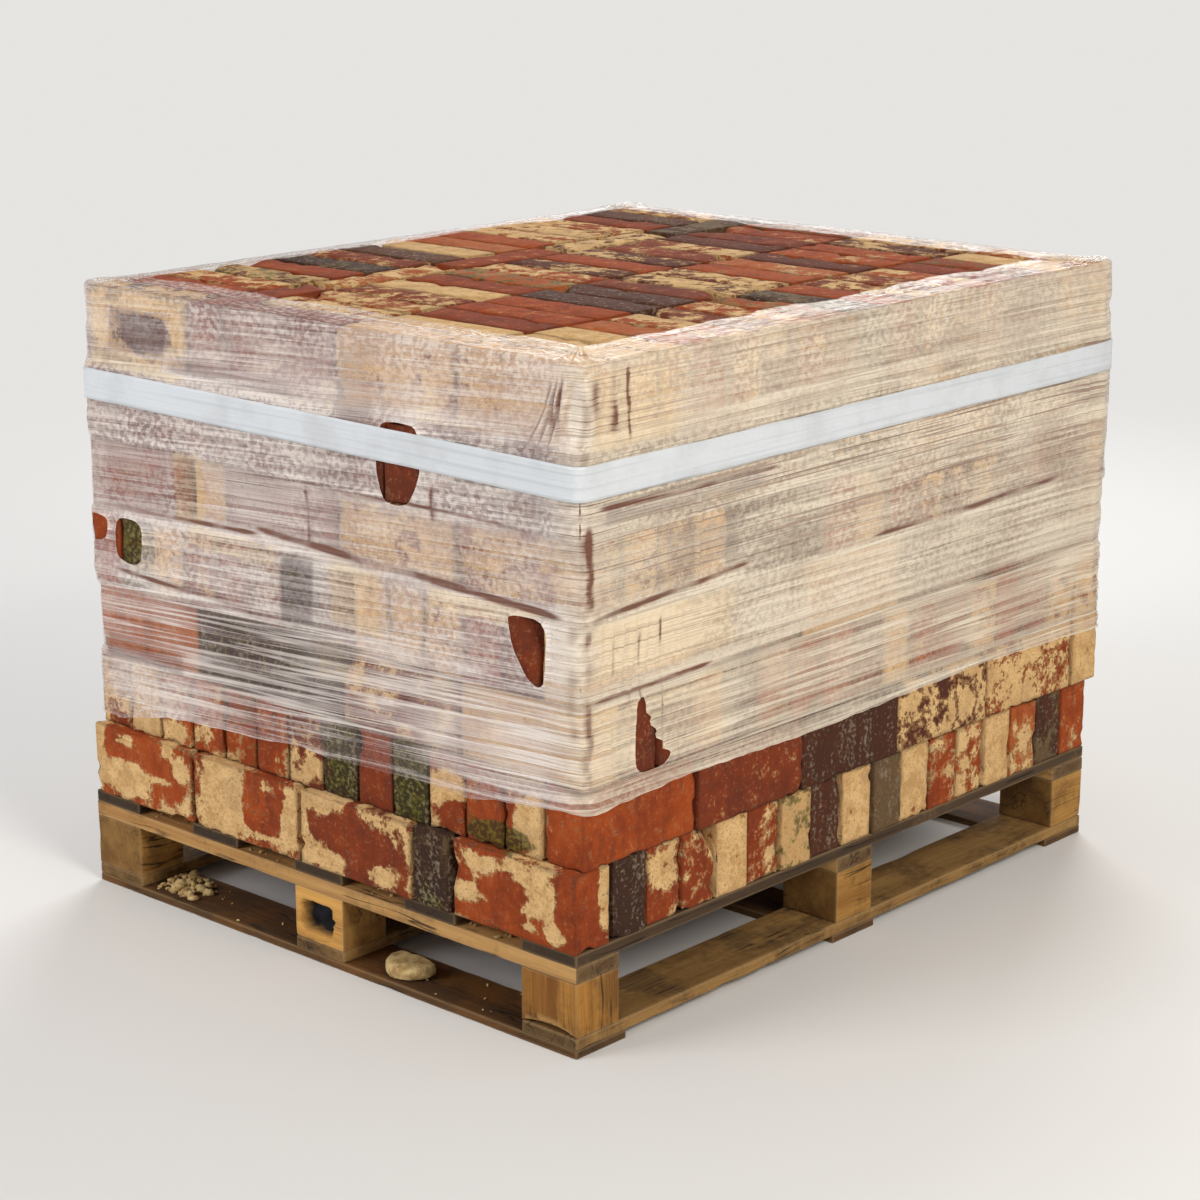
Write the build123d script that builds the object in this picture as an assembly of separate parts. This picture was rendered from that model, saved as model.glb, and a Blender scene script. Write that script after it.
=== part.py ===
from build123d import *
import os
import random

# Pallet of reclaimed bricks on edge, wrapped in stretch film.
# Millimetres. X runs along the 1000 mm front, Y runs back from it, Z is up.
# The origin is on the ground under the middle of the pallet.

# Pallet as a whole
pallet_width = 1000.0
pallet_depth = 1200.0

# Thickness of each layer of wood, from the ground up
bottom_board_thickness = 12.0
skid_thickness = 17.0
block_height = 78.0
stringer_thickness = 22.0
deck_board_thickness = 18.0

# Widths of the sawn boards and size of the blocks
bottom_board_width = 98.0
skid_width = 100.0
block_width = 100.0
block_depth = 84.0
stringer_width = 84.0
deck_board_width = 100.0
deck_board_count = 5
lines_each_way = 3
skid_edge_chamfer = 5.0
wane_depth = 26.0
wane_height = 13.0
wane_from_left = 6.0
wane_from_right = 4.0
wane_right_height = 2.0

# One brick, stood on its long narrow side
brick_length = 225.0
brick_thickness = 67.0
brick_height = 111.0
worn_edge = 4.0
course_count = 7

# The load against the pallet, and the least gap between two bricks
load_narrower = 11.0
load_shorter = 2.0
endwise_longer = 7.5
least_gap = 1.2

# How unevenly the bricks were laid, and how many have lost a corner
end_stray = 1.2
outward_stray = 5.0
turn_stray = 0.35
laying_seed = 41
broken_share = 0.14
broken_corner = 24.0
broken_edge = 48.0
break_slant = (35, -25, 45)

# How far each course stands back from the pallet's front and right edges
set_back_front = [0.0, 12.0, 15.0, 10.0, 16.0, 8.0, 24.0]
set_back_right = [2.0, -1.0, -2.0, 1.0, -1.0, 0.0, 7.0]

# Place of the upright column of turned bricks in courses 1, 3, 5 and 7,
# counted in whole bricks from the right
turned_column = {1: 1, 3: 2, 5: 3, 7: 3}

# Stretch film, taken together as one skin
film_gap = 0.5
film_thickness = 1.2
film_corner_radius = 6.0
film_tent = 22.0
film_hem_left = 128.0
film_hem_right = 198.0
film_lap_on_top = 85.0
film_lap_left_short = 30.0

# Tape band round the load, over the film
band_gap = 0.3
band_thickness = 0.8
band_width = 46.0
band_course = 6
band_below_seam = 7.0

deck_top = (
    bottom_board_thickness
    + skid_thickness
    + block_height
    + stringer_thickness
    + deck_board_thickness
)
skid_base = bottom_board_thickness
block_base = skid_base + skid_thickness
stringer_base = block_base + block_height
deck_base = stringer_base + stringer_thickness
load_top = deck_top + course_count * brick_height
front = -pallet_depth / 2
right = pallet_width / 2
load_width = pallet_width - load_narrower
load_depth = pallet_depth - load_shorter
on_base = (Align.CENTER, Align.CENTER, Align.MIN)


def line_places(length, piece):
    """Centres of the three lines of pieces spread over a length."""
    step = (length - piece) / (lines_each_way - 1)
    return [-(length - piece) / 2 + step * n for n in range(lines_each_way)]


def course_base(number):
    return deck_top + (number - 1) * brick_height


# Bottom boards, across the width, flat on the ground
def bottom_board(y):
    board = Box(pallet_width, bottom_board_width, bottom_board_thickness, align=on_base)
    return Pos(0, y, 0) * board


# Skids, front to back under the blocks, with their upper edges planed off
def skid(x):
    plank = Box(skid_width, pallet_depth, skid_thickness, align=on_base)
    upper_edges = plank.faces().sort_by(Axis.Z)[-1].edges().filter_by(Axis.Y)
    plank = chamfer(upper_edges, skid_edge_chamfer)
    return Pos(x, 0, skid_base) * plank


# Blocks between the skids and the stringers
def block(x, y):
    return Pos(x, y, block_base) * Box(block_width, block_depth, block_height, align=on_base)


# The near block was cut from the outside of the log, so its lower front edge is missing
def near_block(x, y):
    body = block(x, y)
    left = x - block_width / 2 + wane_from_left
    far = x + block_width / 2 - wane_from_right
    below = block_base - wane_height
    low_left = (left, block_base)
    top = (x, block_base + wane_height)
    low_right = (far, block_base + wane_right_height)
    arch = ThreePointArc(low_left, top, low_right)
    under = Polyline(low_right, (far, below), (left, below), low_left)
    missing = make_face(Plane.XZ * (arch + under))
    return body - Pos(0, y - block_depth / 2 + wane_depth, 0) * extrude(missing, 2 * wane_depth)


# Stringers, across the width on the blocks
def stringer(y):
    return Pos(0, y, stringer_base) * Box(pallet_width, stringer_width, stringer_thickness, align=on_base)


# Deck boards, front to back on the stringers
def deck_board(x):
    return Pos(x, 0, deck_base) * Box(deck_board_width, pallet_depth, deck_board_thickness, align=on_base)


# Bricks: a worn one shows and has its upright edges rubbed off, a plain one is inside the load
def plain_brick():
    return Box(brick_length, brick_thickness, brick_height, align=on_base)


def worn_brick():
    body = plain_brick()
    return chamfer(body.edges().filter_by(Axis.Z), worn_edge)


def broken_brick():
    """A worn brick with one upper corner knocked off."""
    corner = (brick_length / 2, brick_thickness / 2, brick_height)
    cut = Box(broken_corner, broken_corner, broken_edge)
    return worn_brick() - Pos(*corner) * Rot(*break_slant) * cut


def pieces_in(length, piece):
    """How many pieces go into a length with the least gap between them."""
    return int((length + least_gap) / (piece + least_gap))


def spread(count, piece, length, start):
    """Centres of a row of pieces, evenly spaced to fill a length."""
    step = (length - piece) / (count - 1)
    return [start + piece / 2 + n * step for n in range(count)]


def laid_lengthwise(number, near_x, near_y):
    """Places in a course of bricks that lie across the width, with one column turned."""
    columns = pieces_in(load_width - brick_thickness - least_gap, brick_length)
    gap = (load_width - brick_thickness - columns * brick_length) / columns
    turned = min(turned_column[number], columns)
    places = []
    edge = near_x
    for column in range(columns + 1):
        if column == turned:
            x = edge - brick_thickness / 2
            count = pieces_in(load_depth, brick_length)
            for y in spread(count, brick_length, load_depth, near_y):
                places.append((x, y, 90))
            edge -= brick_thickness + gap
        else:
            x = edge - brick_length / 2
            count = pieces_in(load_depth, brick_thickness)
            for y in spread(count, brick_thickness, load_depth, near_y):
                places.append((x, y, 0))
            edge -= brick_length + gap
    return places


def laid_endwise(near_x, near_y):
    """Places in a course of bricks that run back from the front, with a row across at the back."""
    columns = pieces_in(load_width, brick_thickness)
    run = load_depth + endwise_longer - brick_thickness
    rows = pieces_in(run - least_gap, brick_length)
    gap = (run - rows * brick_length) / rows
    across = pieces_in(load_width, brick_length)
    places = []
    for x in spread(columns, brick_thickness, load_width, near_x - load_width):
        for y in spread(rows, brick_length, run - gap, near_y):
            places.append((x, y, 90))
    for x in spread(across, brick_length, load_width, near_x - load_width):
        places.append((x, near_y + run + brick_thickness / 2, 0))
    return places


def course(number):
    """One course: every brick its own solid, pushed outwards a little where it is free to move."""
    chance = random.Random(laying_seed + number)
    near_x = right - set_back_right[number - 1]
    near_y = front + set_back_front[number - 1]
    if number in turned_column:
        places = laid_lengthwise(number, near_x, near_y)
        depth = load_depth
    else:
        places = laid_endwise(near_x, near_y)
        depth = load_depth + endwise_longer
    shown = [worn_brick(), broken_brick()]
    hidden = plain_brick()
    bricks = []
    for x, y, turn in places:
        half_x, half_y = brick_length / 2, brick_thickness / 2
        if turn:
            half_x, half_y = half_y, half_x
        outward = chance.uniform(0, outward_stray)
        slide = chance.uniform(-end_stray, end_stray)
        twist = chance.uniform(-turn_stray, turn_stray)
        broken = chance.random() < broken_share
        turned_round = chance.choice((0, 180))
        at_right = x + half_x > near_x - least_gap
        at_left = x - half_x < near_x - load_width + least_gap
        at_front = y - half_y < near_y + least_gap
        at_back = y + half_y > near_y + depth - least_gap
        if at_right or at_left:
            x += outward if at_right else -outward
        elif not turn:
            x += slide
        if at_front or at_back:
            y += outward if at_back else -outward
        seen = at_right or at_left or at_front or at_back or number == course_count
        brick = shown[broken] if seen else hidden
        place = Pos(x, y, course_base(number)) * Rot(0, 0, turn + twist + turned_round)
        bricks.append(place * brick)
    return bricks


# Stretch film: a skin that spans from one standing-out course to the next
def skin_section(box, offset, z):
    """Rounded rectangle round a course, this far outside it."""
    low_x, high_x, low_y, high_y = box
    centre = ((low_x + high_x) / 2, (low_y + high_y) / 2)
    width = high_x - low_x + 2 * offset
    depth = high_y - low_y + 2 * offset
    shape = RectangleRounded(width, depth, film_corner_radius + offset - film_gap)
    return Pos(centre[0], centre[1], z) * shape


def wider(first, second):
    return (
        min(first[0], second[0]),
        max(first[1], second[1]),
        min(first[2], second[2]),
        max(first[3], second[3]),
    )


def skin_volume(boxes, offset, top):
    """Everything inside the skin, from under the first course up to the top."""
    sections = [skin_section(boxes[0], offset, course_base(1))]
    for index in range(1, course_count):
        seam = course_base(index + 1)
        sections.append(skin_section(boxes[index - 1], offset, seam - film_tent))
        sections.append(skin_section(wider(boxes[index - 1], boxes[index]), offset, seam))
        sections.append(skin_section(boxes[index], offset, seam + film_tent))
    sections.append(skin_section(boxes[-1], offset, top))
    return loft(sections, ruled=True)


# Torn places in the film. Those in the front are measured left of the near corner and up
# from the deck, the one in the right side is measured back from the near corner.
tear_over_band = [
    (281, 680), (318, 683), (350, 679), (358, 661), (364, 605), (357, 568),
    (346, 543), (322, 541), (303, 550), (292, 568), (278, 605),
]
tear_near_corner = [
    (54, 460), (125, 457), (124, 433), (116, 398), (107, 383), (88, 358), (70, 351), (58, 360),
]
tear_at_left_end = [(948, 440), (992, 443), (992, 402), (975, 397), (950, 406)]
tear_by_mossy_brick = [(868, 452), (930, 455), (931, 382), (900, 372), (871, 378)]
tear_in_right_side = [
    (108, 225), (110, 322), (122, 332), (135, 308), (149, 268), (163, 251), (178, 241), (158, 225),
]
cutter_reach = 60.0


def front_tear(outline, near_x):
    points = [(near_x - left, deck_top + up) for left, up in outline]
    face = make_face(Plane.XZ * Polyline(*points, close=True))
    return Pos(0, front + cutter_reach, 0) * extrude(face, 2 * cutter_reach)


def side_tear(outline, near_y):
    points = [(near_y + back, deck_top + up) for back, up in outline]
    face = make_face(Plane.YZ * Polyline(*points, close=True))
    return Pos(right - cutter_reach, 0, 0) * extrude(face, 2 * cutter_reach)


def under_hem():
    """All that lies below the sloping lower edge of the film."""
    reach = pallet_width
    slope = (film_hem_right - film_hem_left) / pallet_width
    low_left = deck_top + film_hem_left - slope * (reach - pallet_width / 2)
    low_right = deck_top + film_hem_right + slope * (reach - pallet_width / 2)
    points = [(-reach, 0), (reach, 0), (reach, low_right), (-reach, low_left)]
    face = make_face(Plane.XZ * Polyline(*points, close=True))
    return extrude(face, pallet_depth, both=True)


def film(boxes):
    outside = skin_volume(boxes, film_gap + film_thickness, load_top + film_gap + film_thickness)
    inside = skin_volume(boxes, film_gap, load_top + film_gap)
    low_x, high_x, low_y, high_y = boxes[-1]
    bare_width = high_x - low_x - 2 * film_lap_on_top + film_lap_left_short
    bare_depth = high_y - low_y - 2 * film_lap_on_top
    bare_top = Pos((low_x + high_x - film_lap_left_short) / 2, (low_y + high_y) / 2, load_top) * Box(
        bare_width, bare_depth, brick_height, align=on_base
    )
    skin = outside - inside - bare_top - under_hem()
    for outline in (tear_over_band, tear_near_corner, tear_at_left_end, tear_by_mossy_brick):
        skin -= front_tear(outline, right)
    return skin - side_tear(tear_in_right_side, front)


# Tape band: printed side plain, drawn tight over the film
def band(boxes):
    outer_offset = film_gap + film_thickness + band_gap + band_thickness
    inner_offset = film_gap + film_thickness + band_gap
    outside = skin_volume(boxes, outer_offset, load_top)
    inside = skin_volume(boxes, inner_offset, load_top)
    base = course_base(band_course + 1) - band_below_seam - band_width
    slice_of_load = Pos(0, 0, base) * Box(2 * pallet_width, 2 * pallet_depth, band_width, align=on_base)
    return (outside & slice_of_load) - inside


def save(name, shape):
    export_step(shape, f"parts/{name}.step")


def build():
    os.makedirs("parts", exist_ok=True)
    depth_names = ["front", "middle", "back"]
    width_names = ["left", "middle", "right"]
    board_lines = line_places(pallet_depth, bottom_board_width)
    stringer_lines = line_places(pallet_depth, stringer_width)
    block_rows = line_places(pallet_depth, block_depth)
    skid_lines = line_places(pallet_width, skid_width)
    block_columns = line_places(pallet_width, block_width)
    for row, name in enumerate(depth_names):
        save(f"{name}_bottom_board", bottom_board(board_lines[row]))
        save(f"{name}_stringer", stringer(stringer_lines[row]))
        for column, side in enumerate(width_names):
            near = row == 0 and column == lines_each_way - 1
            shape = near_block if near else block
            save(f"{name}_{side}_block", shape(block_columns[column], block_rows[row]))
    for column, side in enumerate(width_names):
        save(f"{side}_skid", skid(skid_lines[column]))
    deck_step = (pallet_width - deck_board_width) / (deck_board_count - 1)
    for number in range(deck_board_count):
        x = -(pallet_width - deck_board_width) / 2 + number * deck_step
        save(f"deck_board_{number + 1}", deck_board(x))
    boxes = []
    for number in range(1, course_count + 1):
        bricks = course(number)
        together = Compound(children=bricks)
        corners = together.bounding_box()
        boxes.append((corners.min.X, corners.max.X, corners.min.Y, corners.max.Y))
        save(f"brick_course_{number}", together)
    save("stretch_film", film(boxes))
    save("tape_band", band(boxes))


build()
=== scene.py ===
import math
import random

import bmesh
import bpy
import numpy as np
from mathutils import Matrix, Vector, noise
from mathutils.bvhtree import BVHTree


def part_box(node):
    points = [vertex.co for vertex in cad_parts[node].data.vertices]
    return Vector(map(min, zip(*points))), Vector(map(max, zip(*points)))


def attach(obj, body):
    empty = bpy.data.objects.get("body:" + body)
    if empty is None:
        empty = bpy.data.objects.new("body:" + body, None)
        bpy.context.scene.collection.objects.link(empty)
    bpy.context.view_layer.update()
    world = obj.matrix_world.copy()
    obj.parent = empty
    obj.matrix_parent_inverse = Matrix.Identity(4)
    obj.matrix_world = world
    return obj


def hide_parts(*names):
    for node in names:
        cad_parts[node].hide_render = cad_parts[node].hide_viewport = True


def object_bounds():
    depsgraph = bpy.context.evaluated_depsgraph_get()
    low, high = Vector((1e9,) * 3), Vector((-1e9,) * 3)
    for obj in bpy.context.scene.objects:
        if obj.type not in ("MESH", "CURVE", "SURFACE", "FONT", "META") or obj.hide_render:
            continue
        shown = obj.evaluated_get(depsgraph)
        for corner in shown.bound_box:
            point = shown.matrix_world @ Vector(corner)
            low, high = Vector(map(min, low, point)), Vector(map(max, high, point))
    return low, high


# Wooden pallet of reclaimed bricks on edge, wound in stretch film with a band of tape.
# Metres. X runs along the front, Y runs back from it and Z is up from the ground.
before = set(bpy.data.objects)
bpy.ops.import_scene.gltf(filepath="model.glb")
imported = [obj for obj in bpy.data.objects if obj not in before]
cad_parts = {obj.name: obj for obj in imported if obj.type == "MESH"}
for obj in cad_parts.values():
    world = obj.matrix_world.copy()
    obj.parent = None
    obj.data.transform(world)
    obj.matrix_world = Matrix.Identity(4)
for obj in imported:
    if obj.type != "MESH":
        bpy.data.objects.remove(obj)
cad_low, cad_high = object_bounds()


# The view. The load is seen from standing height, from the right of its front and a few
# paces off, with a long lens.
standpoint = Vector((2.873, -3.166, 1.58))
aim = Vector((0.015, -0.02, 0.425))


def put_up(name, data):
    """A new object at the origin of the scene."""
    thing = bpy.data.objects.new(name, data)
    bpy.context.scene.collection.objects.link(thing)
    return thing


def look_at(thing, place, point):
    """Sets a camera or lamp at a place and turns it towards a point."""
    thing.location = place
    thing.rotation_euler = (point - place).to_track_quat("-Z", "Y").to_euler()


camera = put_up("camera", bpy.data.cameras.new("camera"))
look_at(camera, standpoint, aim)
camera.data.lens = 86.0
camera.data.clip_end = 200.0
bpy.context.scene.camera = camera
bpy.context.scene.view_settings.view_transform = "Standard"


# Pallet timber. Boards, skids and blocks of rough sawn softwood, weathered brown and dirty
# from the yard. They lie in layers and are nailed through from above and below.
def paint(red, green, blue):
    """A colour written as it is seen, made ready for a shader."""
    seen = (red, green, blue)
    return tuple(c / 12.92 if c < 0.04045 else ((c + 0.055) / 1.055) ** 2.4 for c in seen) + (1.0,)


def plug(value, socket):
    """Wires a value into a socket, or sets it there if it is a plain one."""
    if isinstance(value, Wire):
        socket.id_data.links.new(value.socket, socket)
    else:
        socket.default_value = value


class Wire:
    """A node's output. Sums written on it add Math nodes to its tree."""

    def __init__(self, socket):
        self.socket = socket

    def sum(self, operation, *terms):
        node = self.socket.id_data.nodes.new("ShaderNodeMath")
        node.operation = operation
        for place, term in enumerate(terms):
            plug(term, node.inputs[place])
        return Wire(node.outputs[0])

    def __add__(self, other):
        return self.sum("ADD", self, other)

    def __sub__(self, other):
        return self.sum("SUBTRACT", self, other)

    def __rsub__(self, other):
        return self.sum("SUBTRACT", other, self)

    def __mul__(self, other):
        return self.sum("MULTIPLY", self, other)

    def __abs__(self):
        return self.sum("ABSOLUTE", self)

    def __pow__(self, other):
        return self.sum("POWER", self, other)

    __radd__ = __add__
    __rmul__ = __mul__

    def at_most(self, other):
        return self.sum("MINIMUM", self, other)

    def at_least(self, other):
        return self.sum("MAXIMUM", self, other)


class Bench:
    """A node tree in the making, with one way to add any node to it."""

    def __init__(self, tree):
        self.tree = tree

    def add(self, kind, settings=None, values=None, output=0):
        node = self.tree.nodes.new(kind)
        for name, value in (settings or {}).items():
            if name == "stops":
                elements = node.color_ramp.elements
                elements[0].position, elements[0].color = value[0]
                elements[1].position, elements[1].color = value[-1]
                for position, colour in value[1:-1]:
                    elements.new(position).color = colour
            else:
                setattr(node, name, value)
        for name, value in (values or {}).items():
            plug(value, node.inputs[name])
        return Wire(node.outputs[output]) if node.outputs else None

    def mottle(self, place, scale, detail=3.0, roughness=0.5, output=0):
        """Smooth noise about 0.5, this many spots to the metre."""
        values = {"Vector": place, "Scale": scale, "Detail": detail, "Roughness": roughness}
        return self.add("ShaderNodeTexNoise", None, values, output)

    def fade(self, value, start, end):
        """0 before start, 1 past end and smooth between."""
        values = {"Value": value, "From Min": start, "From Max": end}
        return self.add("ShaderNodeMapRange", {"interpolation_type": "SMOOTHSTEP"}, values)

    def mix(self, share, first, second):
        """Colours mixed, with this share of the second."""
        return self.add("ShaderNodeMix", {"data_type": "RGBA"}, {0: share, 6: first, 7: second}, 2)

    def place(self):
        """Where each point of the surface is, in metres."""
        return self.add("ShaderNodeTexCoord", None, None, "Object")

    def stretched(self, place, scale):
        """The place with each axis scaled by its own amount."""
        return self.add("ShaderNodeMapping", None, {"Vector": place, "Scale": scale})

    def scaled(self, vector, amount):
        """A vector times a number."""
        return self.add("ShaderNodeVectorMath", {"operation": "SCALE"}, {0: vector, "Scale": amount})

    def moved(self, place, shift):
        """A place with a shift added."""
        return self.add("ShaderNodeVectorMath", {"operation": "ADD"}, {0: place, 1: shift})

    def streaks(self, lay, lengthwise, crosswise, detail=1.0):
        """Smooth noise about 0.5 on a flat map, with its own scale each way."""
        place = self.stretched(lay, (lengthwise, crosswise, 1.0))
        values = {"Vector": place, "Scale": 1.0, "Detail": detail}
        return self.add("ShaderNodeTexNoise", {"noise_dimensions": "2D"}, values)

    def mark(self, name):
        """A number kept at each point of the mesh, for a material."""
        return self.add("ShaderNodeAttribute", {"attribute_name": name}, None, "Fac")

    def bump(self, height, depth):
        """Relief of this depth in metres."""
        return self.add("ShaderNodeBump", None, {"Height": height, "Distance": depth, "Strength": 1.0})


def new_finish(name):
    """An empty material and the bench to build it on."""
    finish = bpy.data.materials.new(name)
    finish.use_nodes = True
    finish.node_tree.nodes.clear()
    return finish, Bench(finish.node_tree)


def surface(bench, **sockets):
    """Ends a material in one shader with these sockets, whose names have _ for a space."""
    values = {name.replace("_", " "): value for name, value in sockets.items()}
    shader = bench.add("ShaderNodeBsdfPrincipled", None, values)
    bench.add("ShaderNodeOutputMaterial", None, {"Surface": shader})


def timber(name, grain, pale, brown, grime, rings=30.0, dark_ends=0.45):
    """Weathered softwood with its grain along one axis, darker where grime is near 1."""
    finish, bench = new_finish(name)
    place = bench.place()
    swayed = bench.moved(place, bench.scaled(bench.mottle(place, 5.0, 2.0, output=1), 0.02))

    def along(lengthwise, across, detail):
        scale = [across] * 3
        scale["XYZ".index(grain)] = lengthwise
        return bench.mottle(bench.stretched(swayed, scale), 1.0, detail)

    bands = along(1.6, rings, 2.0)
    fibres = along(11.0, 330.0, 2.0)
    splits = along(2.2, 52.0, 1.5)
    blotches = bench.mottle(place, 9.0, 3.0, 0.6)
    specks = bench.mottle(place, 120.0, 1.0)
    spread = bench.stretched(place, (4.0, 5.2, 6.0))
    knots = bench.add("ShaderNodeTexVoronoi", None, {"Vector": spread, "Scale": 1.0})
    knot = 1.0 - bench.fade(knots, 0.05, 0.11)
    tone = (bands - 0.5) * 2.2 + (fibres - 0.5) * 0.9 + 0.5
    colour = bench.mix(bench.fade(tone, 0.0, 1.0), paint(*brown), paint(*pale))
    colour = bench.mix(bench.mark("end") * dark_ends, colour, paint(0.215, 0.165, 0.125))
    colour = bench.mix(knot * 0.75, colour, paint(0.27, 0.15, 0.08))
    dirt = bench.fade(blotches + grime * 0.35 + (specks - 0.5) * 0.3, 0.52, 0.74)
    colour = bench.mix(dirt * (0.25 + 0.6 * grime), colour, paint(0.20, 0.155, 0.115))
    crack = 1.0 - bench.fade(abs(splits - 0.5), 0.004, 0.017)
    crack = crack * bench.fade(blotches, 0.42, 0.6)
    colour = bench.mix(crack * 0.8, colour, paint(0.10, 0.07, 0.05))
    colour = bench.mix(bench.fade(bench.mark("worn"), 0.2, 1.0) * 0.3, colour, paint(0.66, 0.55, 0.40))
    # The knot hole is painted near black with a blue cast: painted shade inside the hole.
    colour = bench.mix(bench.mark("hollow"), colour, paint(0.085, 0.085, 0.105))
    colour = bench.mix(bench.mark("fresh") * 0.8, colour, paint(0.75, 0.58, 0.36))
    height = fibres * 0.5 + bands * 0.5 - crack * 1.5 + specks * 0.25
    surface(
        bench,
        Base_Color=colour,
        Roughness=bench.fade(blotches, 0.2, 0.9) * 0.15 + 0.78,
        Specular_IOR_Level=0.22,
        Normal=bench.bump(height, 0.0011),
    )
    return finish


def stations(low, high, step, rims):
    """Places to divide a side at: close together by its ends, then evenly."""
    inner = max(1, round((high - low - 2 * rims[-1]) / step))
    middle = np.linspace(low + rims[-1], high - rims[-1], inner + 1)[1:-1]
    start = [low + rim for rim in rims]
    return np.array(start + list(middle) + [low + high - place for place in reversed(start)])


def shell(sides):
    """Points and outward quads of a box whose sides are divided at these stations."""
    points, quads, count = [], [], 0
    for axis in range(3):
        across, up = (axis + 1) % 3, (axis + 2) % 3
        for end in (0, -1):
            one, two = np.meshgrid(sides[across], sides[up], indexing="ij")
            sheet = np.empty(one.shape + (3,))
            sheet[..., axis] = sides[axis][end]
            sheet[..., across] = one
            sheet[..., up] = two
            index = np.arange(one.size).reshape(one.shape) + count
            corners = [index[:-1, :-1], index[1:, :-1], index[1:, 1:], index[:-1, 1:]]
            quad = np.stack([corner.ravel() for corner in corners], 1)
            quads.append(quad if end else quad[:, ::-1])
            points.append(sheet.reshape(-1, 3))
            count += one.size
    points = np.round(np.concatenate(points), 7)
    points, kept = np.unique(points, axis=0, return_inverse=True)
    return points, kept.reshape(-1)[np.concatenate(quads)]


def rounded(points, low, high, radius):
    """Points of a box surface with its arrises rubbed to a radius, which may vary."""
    radius = np.broadcast_to(np.asarray(radius, float).reshape(-1, 1), (len(points), 1))
    inner = np.clip(points, low + radius, high - radius)
    out = points - inner
    reach = np.linalg.norm(out, axis=1, keepdims=True)
    return inner + out * np.minimum(1.0, radius / np.maximum(reach, 1e-9))


def from_arris(points, low, high):
    """How far each point of a box surface is from the nearest arris."""
    gaps = np.sort(np.minimum(points - low, high - points), axis=1)
    return gaps[:, 1]


def rough(points, scale, seed):
    """Smooth noise from about -1 to 1 at each point."""
    shift = Vector((seed * 3.71, seed * 1.93, seed * 5.17))
    return np.array([noise.noise(Vector(point) * scale + shift) for point in points])


def store(mesh, name, values):
    """Keeps a number for each point of a mesh."""
    mesh.attributes.new(name, "FLOAT", "POINT").data.foreach_set("value", values.astype(np.float32))


def new_piece(name, points, faces, finish, slot, replaced=()):
    """A smooth shaded piece of the load, standing for these CAD nodes."""
    mesh = bpy.data.meshes.new(name)
    mesh.from_pydata(points.tolist(), [], [list(face) for face in faces])
    mesh.polygons.foreach_set("use_smooth", np.ones(len(faces), bool))
    if finish:
        mesh.materials.append(finish)
    piece = put_up(name, mesh)
    if slot:
        enter(piece, replaced)
    return piece


def enter(piece, replaced):
    """Puts a piece on the pallet's one body, in place of its CAD nodes."""
    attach(piece, "root")
    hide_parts(*replaced)


def sawn(node, grain, finish, step, wear, shaping=None):
    """One board or block, with rubbed and splintered arrises, where its CAD node is."""
    low, high = (np.array(corner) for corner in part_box(node))
    axis = "XYZ".index(grain)
    seed = sum(ord(letter) for letter in node) % 97
    rims = (0.0, wear * 0.6, wear * 1.6)
    steps = [step * 1.8 if side == axis else step for side in range(3)]
    points, quads = shell([stations(low[side], high[side], steps[side], rims) for side in range(3)])
    splinter = np.clip(rough(points, 22.0, seed) - 0.22, 0.0, 1.0) * 3.5
    radius = wear * (0.6 + 0.35 * rough(points, 7.0, seed + 5) + splinter)
    radius = np.clip(radius, 0.0004, (high - low).min() * 0.42)
    at_end = np.minimum(points[:, axis] - low[axis], high[axis] - points[:, axis]) < 1e-5
    near = from_arris(points, low, high)
    shaped = rounded(points, low, high, radius)
    marks = {
        "end": at_end.astype(float),
        "worn": np.clip(1.0 - near / 0.006, 0.0, 1.0),
        "hollow": np.zeros(len(points)),
        "fresh": np.zeros(len(points)),
    }
    if shaping:
        shaped = shaping(shaped, low, high, marks)
    piece = new_piece(f"wood_{node}", shaped, quads, finish, "pallet_wood", (node,))
    for name, values in marks.items():
        store(piece.data, name, values)
    return piece


# Bottom boards and skids. Thin boards of old brown softwood lie flat on the ground across the width, and
# longer skids run back over them, paler along their planed edges. The bottom boards are painted darker than
# their wood, partly old brown wood and partly painted shade under the pallet.
pallet_rows = ("front", "middle", "back")
pallet_sides = ("left", "middle", "right")
# The bottom boards' colours hold painted shade as well as brown wood.
shaded_bottom_wood = timber("bottom_board_wood", "X", (0.43, 0.28, 0.13), (0.27, 0.165, 0.075), 0.4)
skid_wood = timber("skid_wood", "Y", (0.65, 0.50, 0.29), (0.49, 0.36, 0.20), 0.4)
for row in pallet_rows:
    sawn(f"{row}_bottom_board", "X", shaded_bottom_wood, 0.011, 0.0022)
for side in pallet_sides:
    sawn(f"{side}_skid", "Y", skid_wood, 0.011, 0.0035)


# Blocks. Short lengths of yellow-brown softwood stand on the skids. The near one was cut at the outside of
# the log, and the middle front one has lost a knot. The middle front block is painted paler than the others,
# as painted sunlight on it where it stands under the deck.
wane_depth = 0.028
wane_height = 0.014
lost_knot = {"x": -0.004, "z": 0.066, "half_width": 0.030, "half_height": 0.022, "depth": 0.021}


def waney(points, low, high, marks):
    """The lower front arris follows the outside of the log."""
    share = np.clip((points[:, 0] - low[0]) / (high[0] - low[0]), 0.0, 1.0)
    height = wane_height * (np.sin(math.pi * share) * 0.9 + 0.12)
    back = (low[1] + wane_depth - points[:, 1]) / wane_depth
    down = (low[2] + height - points[:, 2]) / height
    reach = np.hypot(np.clip(back, 0.0, None), np.clip(down, 0.0, None))
    inside = (back > 0) & (down > 0) & (reach > 1)
    drawn_in = np.where(inside, 1 - 1 / np.maximum(reach, 1.0), 0.0)
    points[:, 1] += np.clip(back, 0.0, None) * wane_depth * drawn_in
    points[:, 2] += np.clip(down, 0.0, None) * height * drawn_in
    marks["fresh"] = np.where(inside, 1.0, 0.0)
    return points


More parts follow.
